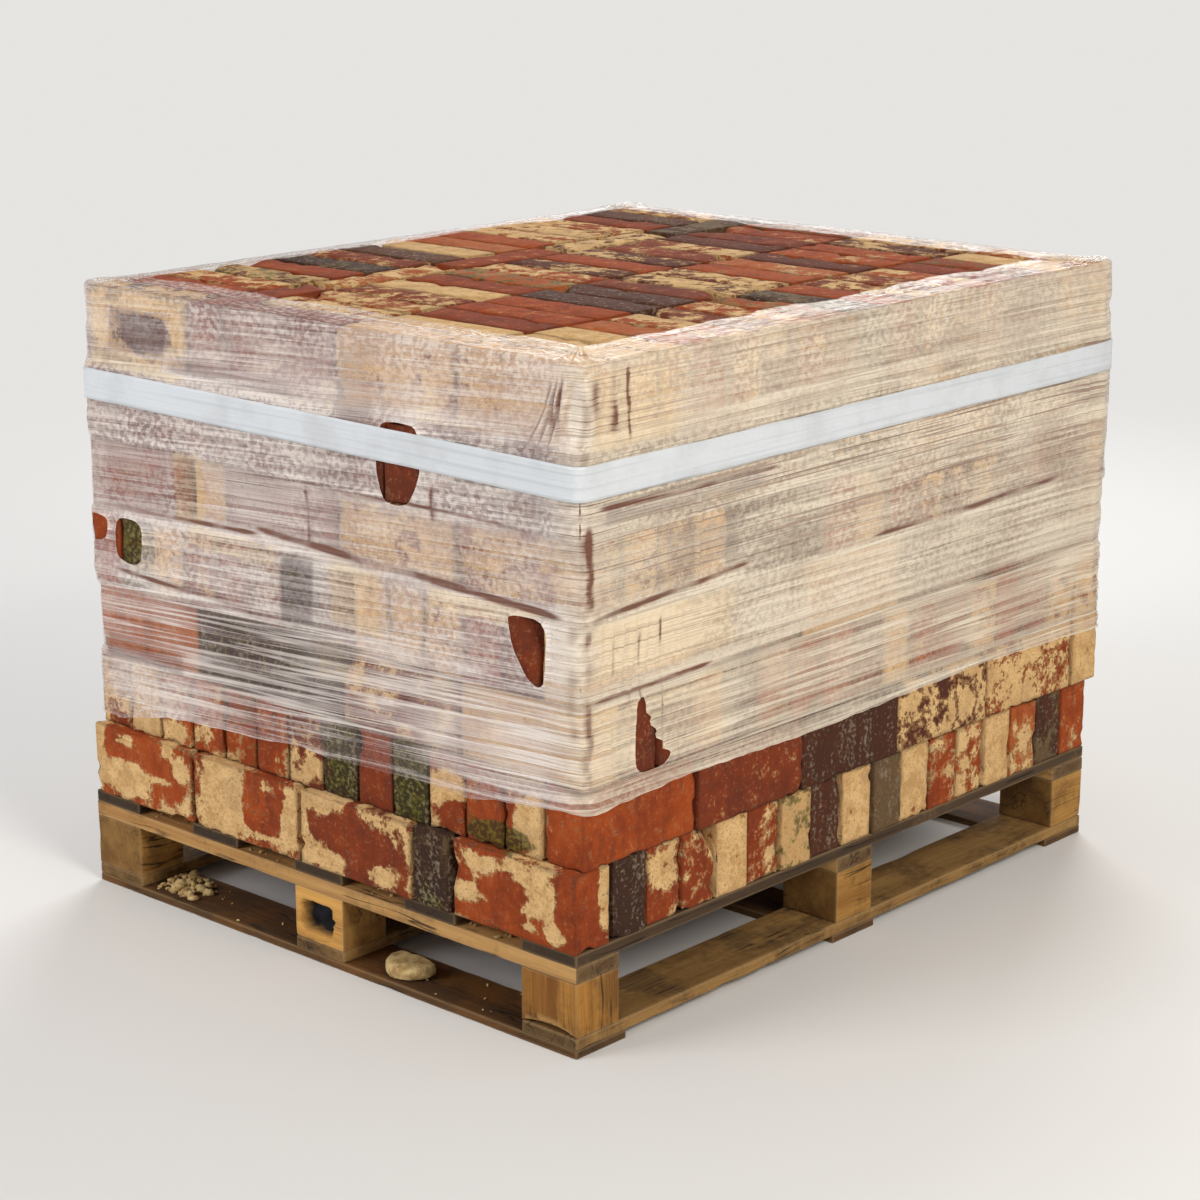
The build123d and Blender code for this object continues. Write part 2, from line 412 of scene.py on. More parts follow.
def knot_lost(points, low, high, marks):
    """A broken hole where a knot fell out of the front face. Its inside is painted near black, a painted
    shade in the hole.
    """
    hole = lost_knot
    across = (points[:, 0] - hole["x"]) / hole["half_width"]
    up = (points[:, 2] - hole["z"]) / hole["half_height"]
    reach = (across**6 + up**6) ** (1 / 6) + 0.14 * rough(points, 90.0, 3)
    on_front = points[:, 1] < low[1] + 0.002
    sunk = np.where(on_front, np.clip((1.08 - reach) / 0.13, 0.0, 1.0), 0.0)
    points[:, 1] += sunk * hole["depth"] * (0.85 + 0.35 * rough(points, 55.0, 8))
    marks["hollow"] = sunk
    marks["worn"] *= 1.0 - sunk
    return points


block_wood = timber("block_wood", "Y", (0.71, 0.53, 0.27), (0.55, 0.375, 0.17), 0.25, 26.0)
near_block_wood = timber("near_block_wood", "Z", (0.68, 0.48, 0.22), (0.48, 0.30, 0.12), 0.3, 30.0)
# Paler wood for the middle front block: painted sunlight.
middle_block_wood = timber("middle_block_wood", "X", (0.86, 0.65, 0.35), (0.70, 0.50, 0.25), 0.15, 34.0)
for row in pallet_rows:
    for side in pallet_sides:
        node = f"{row}_{side}_block"
        if node == "front_right_block":
            sawn(node, "Z", near_block_wood, 0.0045, 0.0028, waney)
        elif node == "front_middle_block":
            sawn(node, "X", middle_block_wood, 0.0032, 0.0024, knot_lost)
        else:
            sawn(node, "Y", block_wood, 0.008, 0.0028)


# Stringers and deck boards. Clean pale stringers lie across the blocks, and five deck boards
# run back over them, black with dirt at the ends that stick out under the bricks.
deck_numbers = range(1, 6)
stringer_wood = timber("stringer_wood", "X", (0.77, 0.60, 0.37), (0.65, 0.47, 0.27), 0.1, 42.0, 0.8)
deck_wood = timber("deck_wood", "Y", (0.47, 0.36, 0.25), (0.31, 0.23, 0.16), 0.8, 30.0, 0.75)
for row in pallet_rows:
    sawn(f"{row}_stringer", "X", stringer_wood, 0.010, 0.0016)
for number in deck_numbers:
    sawn(f"deck_board_{number}", "Y", deck_wood, 0.011, 0.0026)


# Bricks. Old hand-pressed clay bricks, kiln red to orange, knocked out of a wall and stood on edge. Lime
# mortar still clings to them in patches, arrises are chipped, and some are mossy. Their arrises are painted
# darker, with grime and painted shade.
brick_length = 0.225
brick_thickness = 0.067
brick_height = 0.111
course_numbers = range(1, 8)
brick_half = np.array((brick_length, brick_thickness, brick_height)) / 2
broken_depth = 0.024


def brick_mesh(kind, step, rims, radius, broken):
    """One brick about its own middle, with how near an arris each point is."""
    sides = [stations(-half, half, step, rims) for half in brick_half]
    points, quads = shell(sides)
    near = from_arris(points, -brick_half, brick_half)
    shaped = rounded(points, -brick_half, brick_half, radius)
    if broken:
        lean = np.array((0.62, 0.60, 0.51))
        limit = (brick_half * lean).sum() - broken_depth
        beyond = np.clip(shaped @ lean - limit, 0.0, None)
        beyond *= 1.0 + 0.25 * rough(shaped, 60.0, 4)
        shaped = shaped - beyond[:, None] * lean / (lean @ lean)
    piece = new_piece(f"{kind}_brick", shaped, quads, None, None)
    local = piece.data.attributes.new("local", "FLOAT_VECTOR", "POINT")
    local.data.foreach_set("vector", shaped.astype(np.float32).ravel())
    store(piece.data, "arris", np.clip(1.0 - near / 0.016, 0.0, 1.0))
    return piece


# Bricks that are out of sight are plain, those under the film and on top are rubbed and chipped,
# and those below the film are the finest.
patterns = {"plain": brick_mesh("plain", 1.0, (0.0, 0.004), 0.002, False)}
for kind, step, rims, radius in (
    ("veiled", 0.021, (0.0, 0.004), 0.003),
    ("bare", 0.0105, (0.0, 0.0012, 0.0036, 0.0085), 0.0026),
):
    patterns[kind] = brick_mesh(kind, step, rims, radius, False)
    patterns[f"{kind}_broken"] = brick_mesh(f"{kind}_broken", step, rims, radius, True)
grades = list(patterns)
lost_corner = 0.012
weld_reach = 1e-5
least_bend = 0.1
least_rise = 1e-4


def bricks_in(node):
    """Middle, turn and missing corner of each brick in a course, read from its CAD node."""
    merged = bmesh.new()
    merged.from_mesh(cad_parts[node].data)
    bmesh.ops.remove_doubles(merged, verts=merged.verts, dist=weld_reach)
    waiting = dict.fromkeys(merged.verts)
    found = []
    while waiting:
        edge_of_search = [waiting.popitem()[0]]
        island = list(edge_of_search)
        while edge_of_search:
            for edge in edge_of_search.pop().link_edges:
                for vertex in edge.verts:
                    if vertex in waiting:
                        del waiting[vertex]
                        island.append(vertex)
                        edge_of_search.append(vertex)
        corners = np.array([vertex.co for vertex in island])
        sharp = [edge for v in island for edge in v.link_edges if edge.calc_face_angle(0.0) > least_bend]
        runs = [edge.verts[1].co - edge.verts[0].co for edge in sharp]
        level = [run for run in runs if abs(run.z) < least_rise]
        longest = max(level, key=lambda run: run.length)
        turn = math.atan2(longest.y, longest.x)
        turn = (turn + math.pi / 4) % math.pi - math.pi / 4
        cos, sin = math.cos(turn), math.sin(turn)
        own = corners[:, :2] @ np.array(((cos, -sin), (sin, cos)))
        low, high = own.min(0), own.max(0)
        middle = np.array(((cos, -sin), (sin, cos))) @ ((low + high) / 2)
        corner_gaps = []
        for tip in (high, low):
            there = np.hypot(*(own - tip).T) + abs(corners[:, 2] - corners[:, 2].max())
            corner_gaps.append(there.min())
        broken = max(corner_gaps) > lost_corner
        if broken and corner_gaps[1] > corner_gaps[0]:
            turn += math.pi
        height = (corners[:, 2].min() + corners[:, 2].max()) / 2
        brick = {"at": (middle[0], middle[1], height), "turn": turn, "broken": broken}
        found.append(brick | {"low": corners.min(0), "high": corners.max(0)})
    merged.free()
    found.sort(key=lambda brick: tuple(np.round(brick["at"], 3)))
    return found


# What is known of single bricks: course, side, place along it in metres, then how light the
# clay is, how much of it mortar hides, how sooty and how mossy it is.
front_bricks = [
    (1, -0.12, 0.55, 0.50, 0.0, 0.0), (1, -0.27, 0.10, 0.30, 0.95, 0.25),
    (1, -0.42, 0.43, 0.50, 0.0, 0.0), (1, -0.65, 0.55, 0.50, 0.0, 0.0),
    (1, -0.88, 0.62, 0.50, 0.0, 0.0), (2, -0.035, 0.55, 0.02, 0.0, 0.0),
    (2, -0.10, 0.52, 0.50, 0.0, 0.0), (2, -0.17, 0.55, 0.30, 0.0, 0.35),
    (2, -0.24, 0.52, 0.50, 0.0, 0.1), (2, -0.30, 0.10, 0.10, 0.75, 0.9),
    (2, -0.37, 0.42, 0.08, 0.1, 0.0), (2, -0.44, 0.10, 0.25, 0.85, 0.7),
    (2, -0.51, 0.35, 0.45, 0.25, 0.1), (2, -0.58, 0.52, 0.35, 0.1, 0.2),
    (2, -0.65, 0.50, 0.25, 0.25, 0.5), (2, -0.72, 0.60, 0.40, 0.0, 0.1),
    (2, -0.79, 0.60, 0.30, 0.0, 0.0), (2, -0.85, 0.62, 0.80, 0.0, 0.0),
    (2, -0.92, 0.45, 0.20, 0.0, 0.0), (2, -0.97, 0.50, 0.60, 0.0, 0.0),
    (3, -0.12, 0.45, 0.80, 0.0, 0.0), (3, -0.35, 0.40, 0.45, 0.1, 0.0),
    (3, -0.55, 0.12, 0.15, 0.85, 0.4), (3, -0.66, 0.08, 0.05, 1.0, 0.5),
    (3, -0.88, 0.80, 0.15, 0.0, 0.0), (4, -0.02, 0.60, 0.85, 0.0, 0.0),
    (4, -0.09, 0.34, 0.05, 0.1, 0.0), (4, -0.17, 0.55, 0.30, 0.0, 0.0),
    (4, -0.24, 0.50, 0.60, 0.0, 0.0), (4, -0.31, 0.50, 0.75, 0.0, 0.0),
    (4, -0.38, 0.50, 0.70, 0.1, 0.0), (4, -0.45, 0.30, 0.15, 0.4, 0.1),
    (4, -0.53, 0.12, 0.10, 0.9, 0.6), (4, -0.60, 0.35, 0.30, 0.3, 0.0),
    (4, -0.67, 0.45, 0.25, 0.1, 0.0), (4, -0.74, 0.50, 0.45, 0.1, 0.0),
    (4, -0.82, 0.50, 0.60, 0.0, 0.1), (4, -0.90, 0.20, 0.45, 0.6, 0.9),
    (4, -0.97, 0.52, 0.05, 0.0, 0.0), (5, -0.12, 0.55, 0.55, 0.0, 0.0),
    (5, -0.34, 0.55, 0.65, 0.0, 0.0), (5, -0.58, 0.45, 0.20, 0.0, 0.0),
    (5, -0.74, 0.60, 0.90, 0.0, 0.0), (5, -0.87, 0.45, 0.15, 0.0, 0.0),
    (6, -0.31, 0.32, 0.03, 0.1, 0.0), (6, -0.37, 0.32, 0.05, 0.1, 0.0),
    (6, -0.17, 0.30, 0.40, 0.5, 0.1), (7, -0.12, 0.60, 0.75, 0.0, 0.0),
    (7, -0.34, 0.60, 0.75, 0.0, 0.0), (7, -0.50, 0.60, 0.50, 0.0, 0.0),
    (7, -0.64, 0.45, 0.10, 0.0, 0.0), (7, -0.87, 0.20, 0.50, 0.3, 0.0),
]
right_bricks = [
    (1, 0.03, 0.55, 0.50, 0.0, 0.0), (1, 0.10, 0.12, 0.10, 0.75, 0.0),
    (1, 0.17, 0.50, 0.45, 0.0, 0.0), (2, 0.11, 0.42, 0.20, 0.1, 0.0),
    (3, 0.03, 0.50, 0.80, 0.0, 0.0), (3, 0.10, 0.33, 0.04, 0.1, 0.0),
    (3, 0.17, 0.30, 0.04, 0.1, 0.0), (4, 0.11, 0.60, 0.90, 0.0, 0.0),
    (5, 0.05, 0.50, 0.70, 0.0, 0.0), (5, 0.12, 0.55, 0.70, 0.0, 0.0),
    (5, 0.19, 0.35, 0.45, 0.3, 0.0), (6, 0.11, 0.55, 0.60, 0.1, 0.0),
    (7, 0.05, 0.60, 0.85, 0.0, 0.0),
]
pallet_half = np.array((0.5, 0.6))
near_corner = pallet_half * (1, -1)
seen_depth = 0.25


def told_of(bricks, number, along):
    """What is known of the brick of a course that lies nearest to this place along a side."""
    in_course = [brick for brick in bricks if brick[0] == number]
    return min(in_course, key=lambda brick: abs(along - brick[1]))[2:]


def looks_of(brick, number, sides, chance):
    """How light, limed, sooty and mossy a brick is: as seen, or by chance."""
    by_chance = (
        chance.choice((0.20, 0.36, 0.42, 0.48, 0.52, 0.56, 0.62, 0.78)),
        chance.choice((0.05, 0.2, 0.3, 0.4, 0.5, 0.6, 0.85)),
        chance.choice((0.0, 0.0, 0.0, 0.0, 0.1, 0.2, 0.8)),
        chance.choice((0.0, 0.0, 0.0, 0.0, 0.0, 0.2, 0.6)),
    )
    x, y = np.array(brick["at"][:2]) - near_corner
    if "front" in sides:
        return told_of(front_bricks, number, x)
    if "right" in sides and y < seen_depth:
        return told_of(right_bricks, number, y)
    return by_chance


def new_tree(name, sockets):
    """An empty Geometry Nodes tree with these inputs, its bench, and its inputs as wires."""
    tree = bpy.data.node_groups.new(name, "GeometryNodeTree")
    tree.is_modifier = True
    inputs = {}
    for label, kind in [("Geometry", "Geometry")] + sockets:
        inputs[label] = tree.interface.new_socket(label, in_out="INPUT", socket_type=f"NodeSocket{kind}")
    tree.interface.new_socket("Geometry", in_out="OUTPUT", socket_type="NodeSocketGeometry")
    given = {socket.name: Wire(socket) for socket in tree.nodes.new("NodeGroupInput").outputs}
    return tree, inputs, Bench(tree), given


def kept(bench, name, kind="FLOAT"):
    """A number or vector kept at each point, for a tree."""
    return bench.add("GeometryNodeInputNamedAttribute", {"data_type": kind}, {"Name": name})


def set_at_points(bench, points, choice, shape, turned, scale=(1.0, 1.0, 1.0)):
    """The shape set at each chosen point, turned and scaled."""
    shape = bench.add("GeometryNodeObjectInfo", None, {"Object": shape}, "Geometry")
    values = {"Points": points, "Selection": choice, "Instance": shape, "Rotation": turned, "Scale": scale}
    return bench.add("GeometryNodeInstanceOnPoints", None, values)


def dress(bench, shape, along_normal, finish):
    """Ends a tree: moves each point along its normal and gives the shape its finish."""
    shift = bench.scaled(bench.add("GeometryNodeInputNormal"), along_normal)
    moved = bench.add("GeometryNodeSetPosition", None, {"Geometry": shape, "Offset": shift})
    dressed = bench.add("GeometryNodeSetMaterial", None, {"Geometry": moved, "Material": finish})
    plug(dressed, bench.tree.nodes.new("NodeGroupOutput").inputs[0])


def make(piece, tree, inputs, values):
    """Runs a tree on a piece with these inputs, and keeps what it makes as a plain mesh."""
    run = piece.modifiers.new(tree.name, "NODES")
    run.node_group = tree
    for label, value in values.items():
        run[inputs[label].identifier] = value
    view_layer = bpy.context.evaluated_depsgraph_get()
    made = bpy.data.meshes.new_from_object(piece.evaluated_get(view_layer))
    piece.modifiers.clear()
    piece.data = made
    return made


lot_shift = (3.1, 1.7, 2.3)


def lay_bricks_tree():
    """Sets a brick at each point, joins them, and wears each one in its own way."""
    sockets = [(grade, "Object") for grade in grades]
    sockets += [("Chip depth", "Float"), ("Unevenness", "Float"), ("Finish", "Material")]
    tree, inputs, bench, given = new_tree("lay_bricks", sockets)
    turn = bench.add("ShaderNodeCombineXYZ", None, {"Z": kept(bench, "turn")})
    turned = bench.add("FunctionNodeEulerToRotation", None, {0: turn})
    joined = tree.nodes.new("GeometryNodeJoinGeometry")
    for place, grade in enumerate(grades):
        chosen = bench.add(
            "FunctionNodeCompare",
            {"data_type": "FLOAT", "operation": "EQUAL"},
            {"A": kept(bench, "grade"), "B": float(place), "Epsilon": 0.1},
        )
        laid = set_at_points(bench, given["Geometry"], chosen, given[grade], turned)
        plug(laid, joined.inputs[0])
    real = bench.add("GeometryNodeRealizeInstances", None, {"Geometry": Wire(joined.outputs[0])})
    arris = kept(bench, "arris")
    place = bench.moved(kept(bench, "local", "FLOAT_VECTOR"), bench.scaled(lot_shift, kept(bench, "lot")))
    swell = bench.mottle(place, 12.0, 2.0) - 0.5
    nicks = (bench.mottle(place, 62.0, 1.0) - 0.57).at_least(0.0) * 5.0
    spalls = (bench.mottle(place, 23.0, 1.0) - 0.61).at_least(0.0) * 9.0
    chips = (nicks * arris ** 2.0 + spalls * arris ** 1.3) * given["Chip depth"]
    dress(bench, real, swell * given["Unevenness"] - chips, given["Finish"])
    return tree, inputs


def old_brick():
    """Fired clay with its lime mortar, soot, moss and pale specks, darker at its arrises with grime and
    painted shade.
    """
    finish, bench = new_finish("old_brick")
    place = bench.moved(bench.place(), bench.scaled(lot_shift, bench.mark("lot")))
    broad = bench.mottle(place, 13.0, 2.0, 0.55)
    patchy = bench.mottle(place, 42.0, 3.0, 0.62)
    fine = bench.mottle(place, 165.0, 2.0, 0.6)
    grit = bench.mottle(place, 460.0, 1.0)
    scrapes = bench.mottle(bench.stretched(place, (70.0, 70.0, 16.0)), 1.0, 2.0)
    clay, lime = bench.mark("clay"), bench.mark("lime")
    soot, moss, arris = bench.mark("soot"), bench.mark("moss"), bench.mark("arris")
    fired = [
        (0.0, paint(0.25, 0.18, 0.145)), (0.28, paint(0.41, 0.195, 0.125)),
        (0.45, paint(0.525, 0.23, 0.115)), (0.6, paint(0.63, 0.285, 0.12)),
        (0.75, paint(0.67, 0.36, 0.185)), (1.0, paint(0.74, 0.50, 0.34)),
    ]
    heat = clay + (broad - 0.5) * 0.40 + (patchy - 0.5) * 0.42 + (fine - 0.5) * 0.12
    shade = bench.add("ShaderNodeValToRGB", {"stops": fired}, {0: heat})
    colour = bench.mix(bench.fade(scrapes, 0.48, 0.7) * 0.38, shade, paint(0.36, 0.185, 0.13))
    dusty = bench.fade(fine + (patchy - 0.5) * 0.6, 0.58, 0.70)
    colour = bench.mix(dusty * 0.30, colour, paint(0.74, 0.57, 0.42))
    pits = bench.fade(fine, 0.60, 0.70) * bench.fade(patchy, 0.45, 0.6)
    colour = bench.mix(pits * 0.6, colour, paint(0.20, 0.115, 0.085))
    edge = (patchy - 0.5) * 1.15 + (broad - 0.5) * 1.0 + (fine - 0.5) * 0.5
    film_of_lime = bench.fade(lime + edge, 0.36, 0.50)
    limed = bench.fade(lime + edge, 0.49, 0.55)
    uneven = bench.fade(patchy + (fine - 0.5) * 0.7, 0.32, 0.68)
    mortar = bench.mix(uneven, paint(0.76, 0.595, 0.39), paint(0.885, 0.73, 0.51))
    dull = bench.fade(broad + (fine - 0.5) * 0.4, 0.52, 0.66)
    mortar = bench.mix(dull * 0.4, mortar, paint(0.74, 0.60, 0.43))
    mortar = bench.mix(bench.fade(grit, 0.60, 0.74) * 0.35, mortar, paint(0.54, 0.42, 0.29))
    mortar = bench.mix(pits * 0.35, mortar, paint(0.42, 0.31, 0.21))
    colour = bench.mix(film_of_lime * 0.38, colour, mortar)
    colour = bench.mix(limed, colour, mortar)
    sooty = bench.fade(soot + (patchy - 0.5) * 1.0 + (fine - 0.5) * 0.5, 0.35, 0.75)
    colour = bench.mix(sooty * 0.84, colour, paint(0.215, 0.155, 0.12))
    mossy = bench.fade(moss + (patchy - 0.5) * 1.4 + (fine - 0.5) * 0.7, 0.5, 0.8)
    green = bench.mix(bench.fade(fine, 0.42, 0.62), paint(0.20, 0.19, 0.10), paint(0.40, 0.37, 0.13))
    colour = bench.mix(mossy * 0.85, colour, green)
    bloom = bench.fade(fine * 0.6 + scrapes * 0.4 + soot * 0.05, 0.56, 0.70) * (sooty * 0.5 + 0.08)
    colour = bench.mix(bloom, colour, paint(0.60, 0.54, 0.46))
    # Darker towards the arrises: partly grime, partly painted shade in the joints between bricks.
    grime = bench.fade(arris + (patchy - 0.5) * 1.6 + (fine - 0.5) * 0.5, 0.62, 1.15)
    colour = bench.mix(grime * 0.5, colour, paint(0.27, 0.18, 0.13))
    colour = bench.mix(bench.fade(grit, 0.60, 0.74) * 0.4, colour, paint(0.23, 0.14, 0.105))
    relief = limed + film_of_lime * 0.25 + patchy * 0.9 + fine * 0.9 + grit * 0.7 - pits * 0.8
    surface(
        bench,
        Base_Color=colour,
        Roughness=0.97 - mossy * 0.1 - sooty * 0.05,
        Specular_IOR_Level=0.15,
        Normal=bench.bump(relief, 0.0016),
    )
    return finish


# Where mortar hides the clay of the front's lowest courses, and where it is bare: middle and
# half size in metres from the near corner, then 1 for mortar or -1 for bare clay.
front_patches = [
    (-0.118, 0.203, 0.118, 0.058, 0.6), (-0.135, 0.205, 0.042, 0.026, -1.0),
    (-0.115, 0.163, 0.115, 0.017, -1.0), (-0.17, 0.256, 0.035, 0.008, -0.8),
    (-0.012, 0.205, 0.022, 0.05, -1.0), (-0.205, 0.215, 0.016, 0.012, -0.8),
    (-0.085, 0.169, 0.020, 0.007, 0.8), (-0.03, 0.166, 0.024, 0.013, 0.8),
    (-0.425, 0.205, 0.115, 0.058, 0.8), (-0.415, 0.208, 0.074, 0.033, -1.2),
    (-0.415, 0.168, 0.022, 0.026, -1.0), (-0.425, 0.246, 0.016, 0.014, -0.9),
    (-0.50, 0.215, 0.016, 0.020, -0.5), (-0.322, 0.180, 0.010, 0.045, -0.5),
    (-0.70, 0.205, 0.055, 0.058, 1.0), (-0.612, 0.210, 0.045, 0.050, -1.0),
    (-0.555, 0.200, 0.014, 0.045, 0.8), (-0.61, 0.165, 0.055, 0.008, 0.7),
    (-0.60, 0.243, 0.018, 0.012, 0.45), (-0.88, 0.215, 0.11, 0.045, -0.8),
    (-0.93, 0.185, 0.065, 0.026, 0.9), (-0.925, 0.243, 0.028, 0.009, 0.8),
    (-0.985, 0.215, 0.012, 0.055, 0.7), (-0.795, 0.222, 0.020, 0.018, 0.7),
    (-0.825, 0.245, 0.016, 0.014, 0.6), (-0.86, 0.196, 0.050, 0.006, 0.5),
    (-0.085, 0.31, 0.032, 0.034, 1.0), (-0.155, 0.31, 0.034, 0.03, -1.0),
    (-0.24, 0.315, 0.030, 0.028, 0.9), (-0.225, 0.287, 0.030, 0.018, -0.9),
    (-0.15, 0.268, 0.060, 0.012, -0.4), (-0.51, 0.29, 0.020, 0.02, 0.5),
    (-0.825, 0.275, 0.030, 0.020, 1.0), (-0.755, 0.29, 0.020, 0.02, 0.6),
    (-0.862, 0.866, 0.095, 0.050, 0.8), (-0.865, 0.868, 0.062, 0.026, -1.4),
]
right_patches = [
    (0.02, 0.205, 0.03, 0.055, -0.9), (0.055, 0.21, 0.014, 0.045, 0.6),
    (0.175, 0.215, 0.022, 0.022, 0.5), (0.16, 0.235, 0.045, 0.010, 0.5),
    (0.15, 0.17, 0.05, 0.02, -0.6), (0.11, 0.31, 0.11, 0.04, -0.9),
    (0.165, 0.275, 0.02, 0.012, 0.5),
]
moss_patches = [(-0.140, 0.276, 0.062, 0.020, 1.0), (-0.27, 0.16, 0.03, 0.02, 0.5)]
patch_reach = 0.03


def patched(points, patches, across, facing):
    """Paints patches one over the other on the points close to one outer face."""
    field = np.zeros(len(points))
    start = near_corner[across]
    outside = points[:, facing].min() if facing else points[:, facing].max()
    depth = abs(points[:, facing] - outside)
    for middle, height, half_width, half_height, amount in patches:
        beyond = np.hypot(
            (points[:, across] - start - middle) / half_width, (points[:, 2] - height) / half_height
        )
        share = np.clip((1.3 - beyond) / 0.6, 0.0, 1.0) * np.clip(1.5 - depth / patch_reach, 0.0, 1.0)
        field = field * (1.0 - share) + amount * share
    return field


def points_of(mesh):
    """The places of a mesh's points."""
    flat = np.empty(len(mesh.vertices) * 3)
    mesh.vertices.foreach_get("co", flat)
    return flat.reshape(-1, 3)


def numbers_of(mesh, name):
    """A number kept for each point of a mesh."""
    flat = np.empty(len(mesh.vertices))
    mesh.attributes[name].data.foreach_get("value", flat)
    return flat


chip_depth = 0.0075
unevenness = 0.0020
side_reach = 0.022
laying_tree, laying_inputs = lay_bricks_tree()
brick_finish = old_brick()
courses = []
for number in course_numbers:
    node = f"brick_course_{number}"
    low, high = (np.array(corner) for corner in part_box(node))
    chance = random.Random(7 * number)
    bricks = bricks_in(node)
    laid = []
    for brick in bricks:
        set_back = {
            "front": brick["low"][1] - low[1], "right": high[0] - brick["high"][0],
            "back": high[1] - brick["high"][1], "left": brick["low"][0] - low[0],
        }
        sides = [side for side, gap in set_back.items() if gap < side_reach]
        looks = looks_of(brick, number, sides, chance)
        grade = "plain"
        if sides or number == course_numbers[-1]:
            grade = "bare" if number < 3 else "veiled"
            grade += "_broken" if brick["broken"] else ""
        lot = 10 * chance.random()
        laid.append((brick["turn"], grades.index(grade), lot) + looks)
    seeds = bpy.data.meshes.new(node)
    seeds.from_pydata([brick["at"] for brick in bricks], [], [])
    for name, values in zip(("turn", "grade", "lot", "clay", "lime", "soot", "moss"), zip(*laid)):
        store(seeds, name, np.array(values, float))
    layer = put_up(f"bricks_course_{number}", seeds)
    settings = {"Chip depth": chip_depth, "Unevenness": unevenness, "Finish": brick_finish}
    solid = make(layer, laying_tree, laying_inputs, patterns | settings)
    places = points_of(solid)
    lime = numbers_of(solid, "lime")
    lime += 0.5 * patched(places, front_patches, 0, 1) + 0.5 * patched(places, right_patches, 1, 0)
    solid.attributes["lime"].data.foreach_set("value", lime.astype(np.float32))
    moss = numbers_of(solid, "moss") + patched(places, moss_patches, 0, 1)
    solid.attributes["moss"].data.foreach_set("value", moss.astype(np.float32))
    enter(layer, (node,))
    courses.append(layer)
for pattern in patterns.values():
    bpy.data.objects.remove(pattern)


# Fallen mortar. Lime mortar has dropped off the bricks and lies loose on the boards: half a
# round lump and a crumbled pile on the front bottom board, and crumbs along the stringers.
def fallen_mortar():
    """Dry crumbling lime mortar, dusty and pale."""
    finish, bench = new_finish("fallen_mortar")
    place = bench.place()
    stain = bench.mottle(place, 60.0, 4.0, 0.6)
    grain = bench.mottle(place, 520.0, 2.0)
    colour = bench.mix(bench.fade(stain, 0.35, 0.62), paint(0.66, 0.53, 0.34), paint(0.84, 0.735, 0.52))
    colour = bench.mix(bench.fade(grain, 0.58, 0.72) * 0.5, colour, paint(0.45, 0.34, 0.23))
    surface(
        bench,
        Base_Color=colour,
        Roughness=bench.fade(stain, 0.2, 0.8) * 0.08 + 0.9,
        Specular_IOR_Level=0.15,
        Normal=bench.bump(stain + grain * 0.6, 0.0014),
    )
    return finish


def scatter_tree():
    """Sets a crumb at each point, each turned, squashed and broken in its own way."""
    sockets = [("Crumb", "Object"), ("Raggedness", "Float"), ("Finish", "Material")]
    tree, inputs, bench, given = new_tree("scatter_mortar", sockets)

    def any_between(least, most, seed):
        values = {0: least, 1: most, "Seed": seed}
        return bench.add("FunctionNodeRandomValue", {"data_type": "FLOAT_VECTOR"}, values)

    any_way = any_between((0.0, 0.0, 0.0), (0.5, 0.5, 6.28), 3)
    turned = bench.add("FunctionNodeEulerToRotation", None, {0: any_way})
    size = kept(bench, "size")
    squashed = bench.scaled(any_between((0.7, 0.6, 0.45), (1.3, 1.0, 0.8), 4), size)
    laid = set_at_points(bench, given["Geometry"], True, given["Crumb"], turned, squashed)
    real = bench.add("GeometryNodeRealizeInstances", None, {"Geometry": laid})
    uneven = bench.mottle(bench.add("GeometryNodeInputPosition"), 160.0, 2.0) - 0.5
    dress(bench, real, uneven * given["Raggedness"] * size, given["Finish"])
    return tree, inputs


def ball(detail):
    """Points and faces of a sphere of radius 1, made of triangles."""
    sphere = bmesh.new()
    bmesh.ops.create_icosphere(sphere, subdivisions=detail, radius=1.0)
    points = np.array([vertex.co for vertex in sphere.verts])
    faces = np.array([[vertex.index for vertex in face.verts] for face in sphere.faces])
    sphere.free()
    return points, faces


mortar_finish = fallen_mortar()
board_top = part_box("front_bottom_board")[1].z
lump_middle = (0.145, -0.557)
lump_half = (0.039, 0.035, 0.011)
lump_broken_off = 0.30
lump_tilt = 0.07
points, faces = ball(5)
points[:, 2] = np.sign(points[:, 2]) * abs(points[:, 2]) ** 0.28
points[:, 1] = np.minimum(points[:, 1], lump_broken_off + 0.10 * rough(points, 2.2, 51))
points *= 1.0 + 0.04 * rough(points, 2.2, 52)[:, None] + 0.02 * rough(points, 9.0, 53)[:, None]
points *= lump_half
points[:, 2] += points[:, 1] * lump_tilt
points += (lump_middle[0], lump_middle[1], board_top - points[:, 2].min())
new_piece("mortar_lump", points, faces, mortar_finish, "fired_clay")

chance = random.Random(19)
crumbs = []


def strew(count, low, high, top, least, most):
    """Crumbs by chance over a rectangle, many small and few large."""
    for _ in range(count):
        size = least + (most - least) * chance.random() ** 3
        x, y = chance.uniform(low[0], high[0]), chance.uniform(low[1], high[1])
        crumbs.append((x, y, top + size * 0.42, size))


crumb_inset = 0.006


def strew_between(boards, across, count, least, most):
    """Crumbs on a piece that lies across the boards, in the gaps between them."""
    low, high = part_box(across)
    for before, after in zip(boards, boards[1:]):
        start = (before[1].x + crumb_inset, low.y + crumb_inset)
        end = (after[0].x - crumb_inset, high.y - crumb_inset)
        strew(count, start, end, high.z, least, most)


deck_boards = [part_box(f"deck_board_{number}") for number in deck_numbers]
for row, count in (("front", 16), ("middle", 5), ("back", 13)):
    strew_between(deck_boards, f"{row}_stringer", count, 0.0015, 0.0055)
skids = [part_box(f"{side}_skid") for side in pallet_sides]
strew_between(skids, "front_bottom_board", 9, 0.0012, 0.0035)
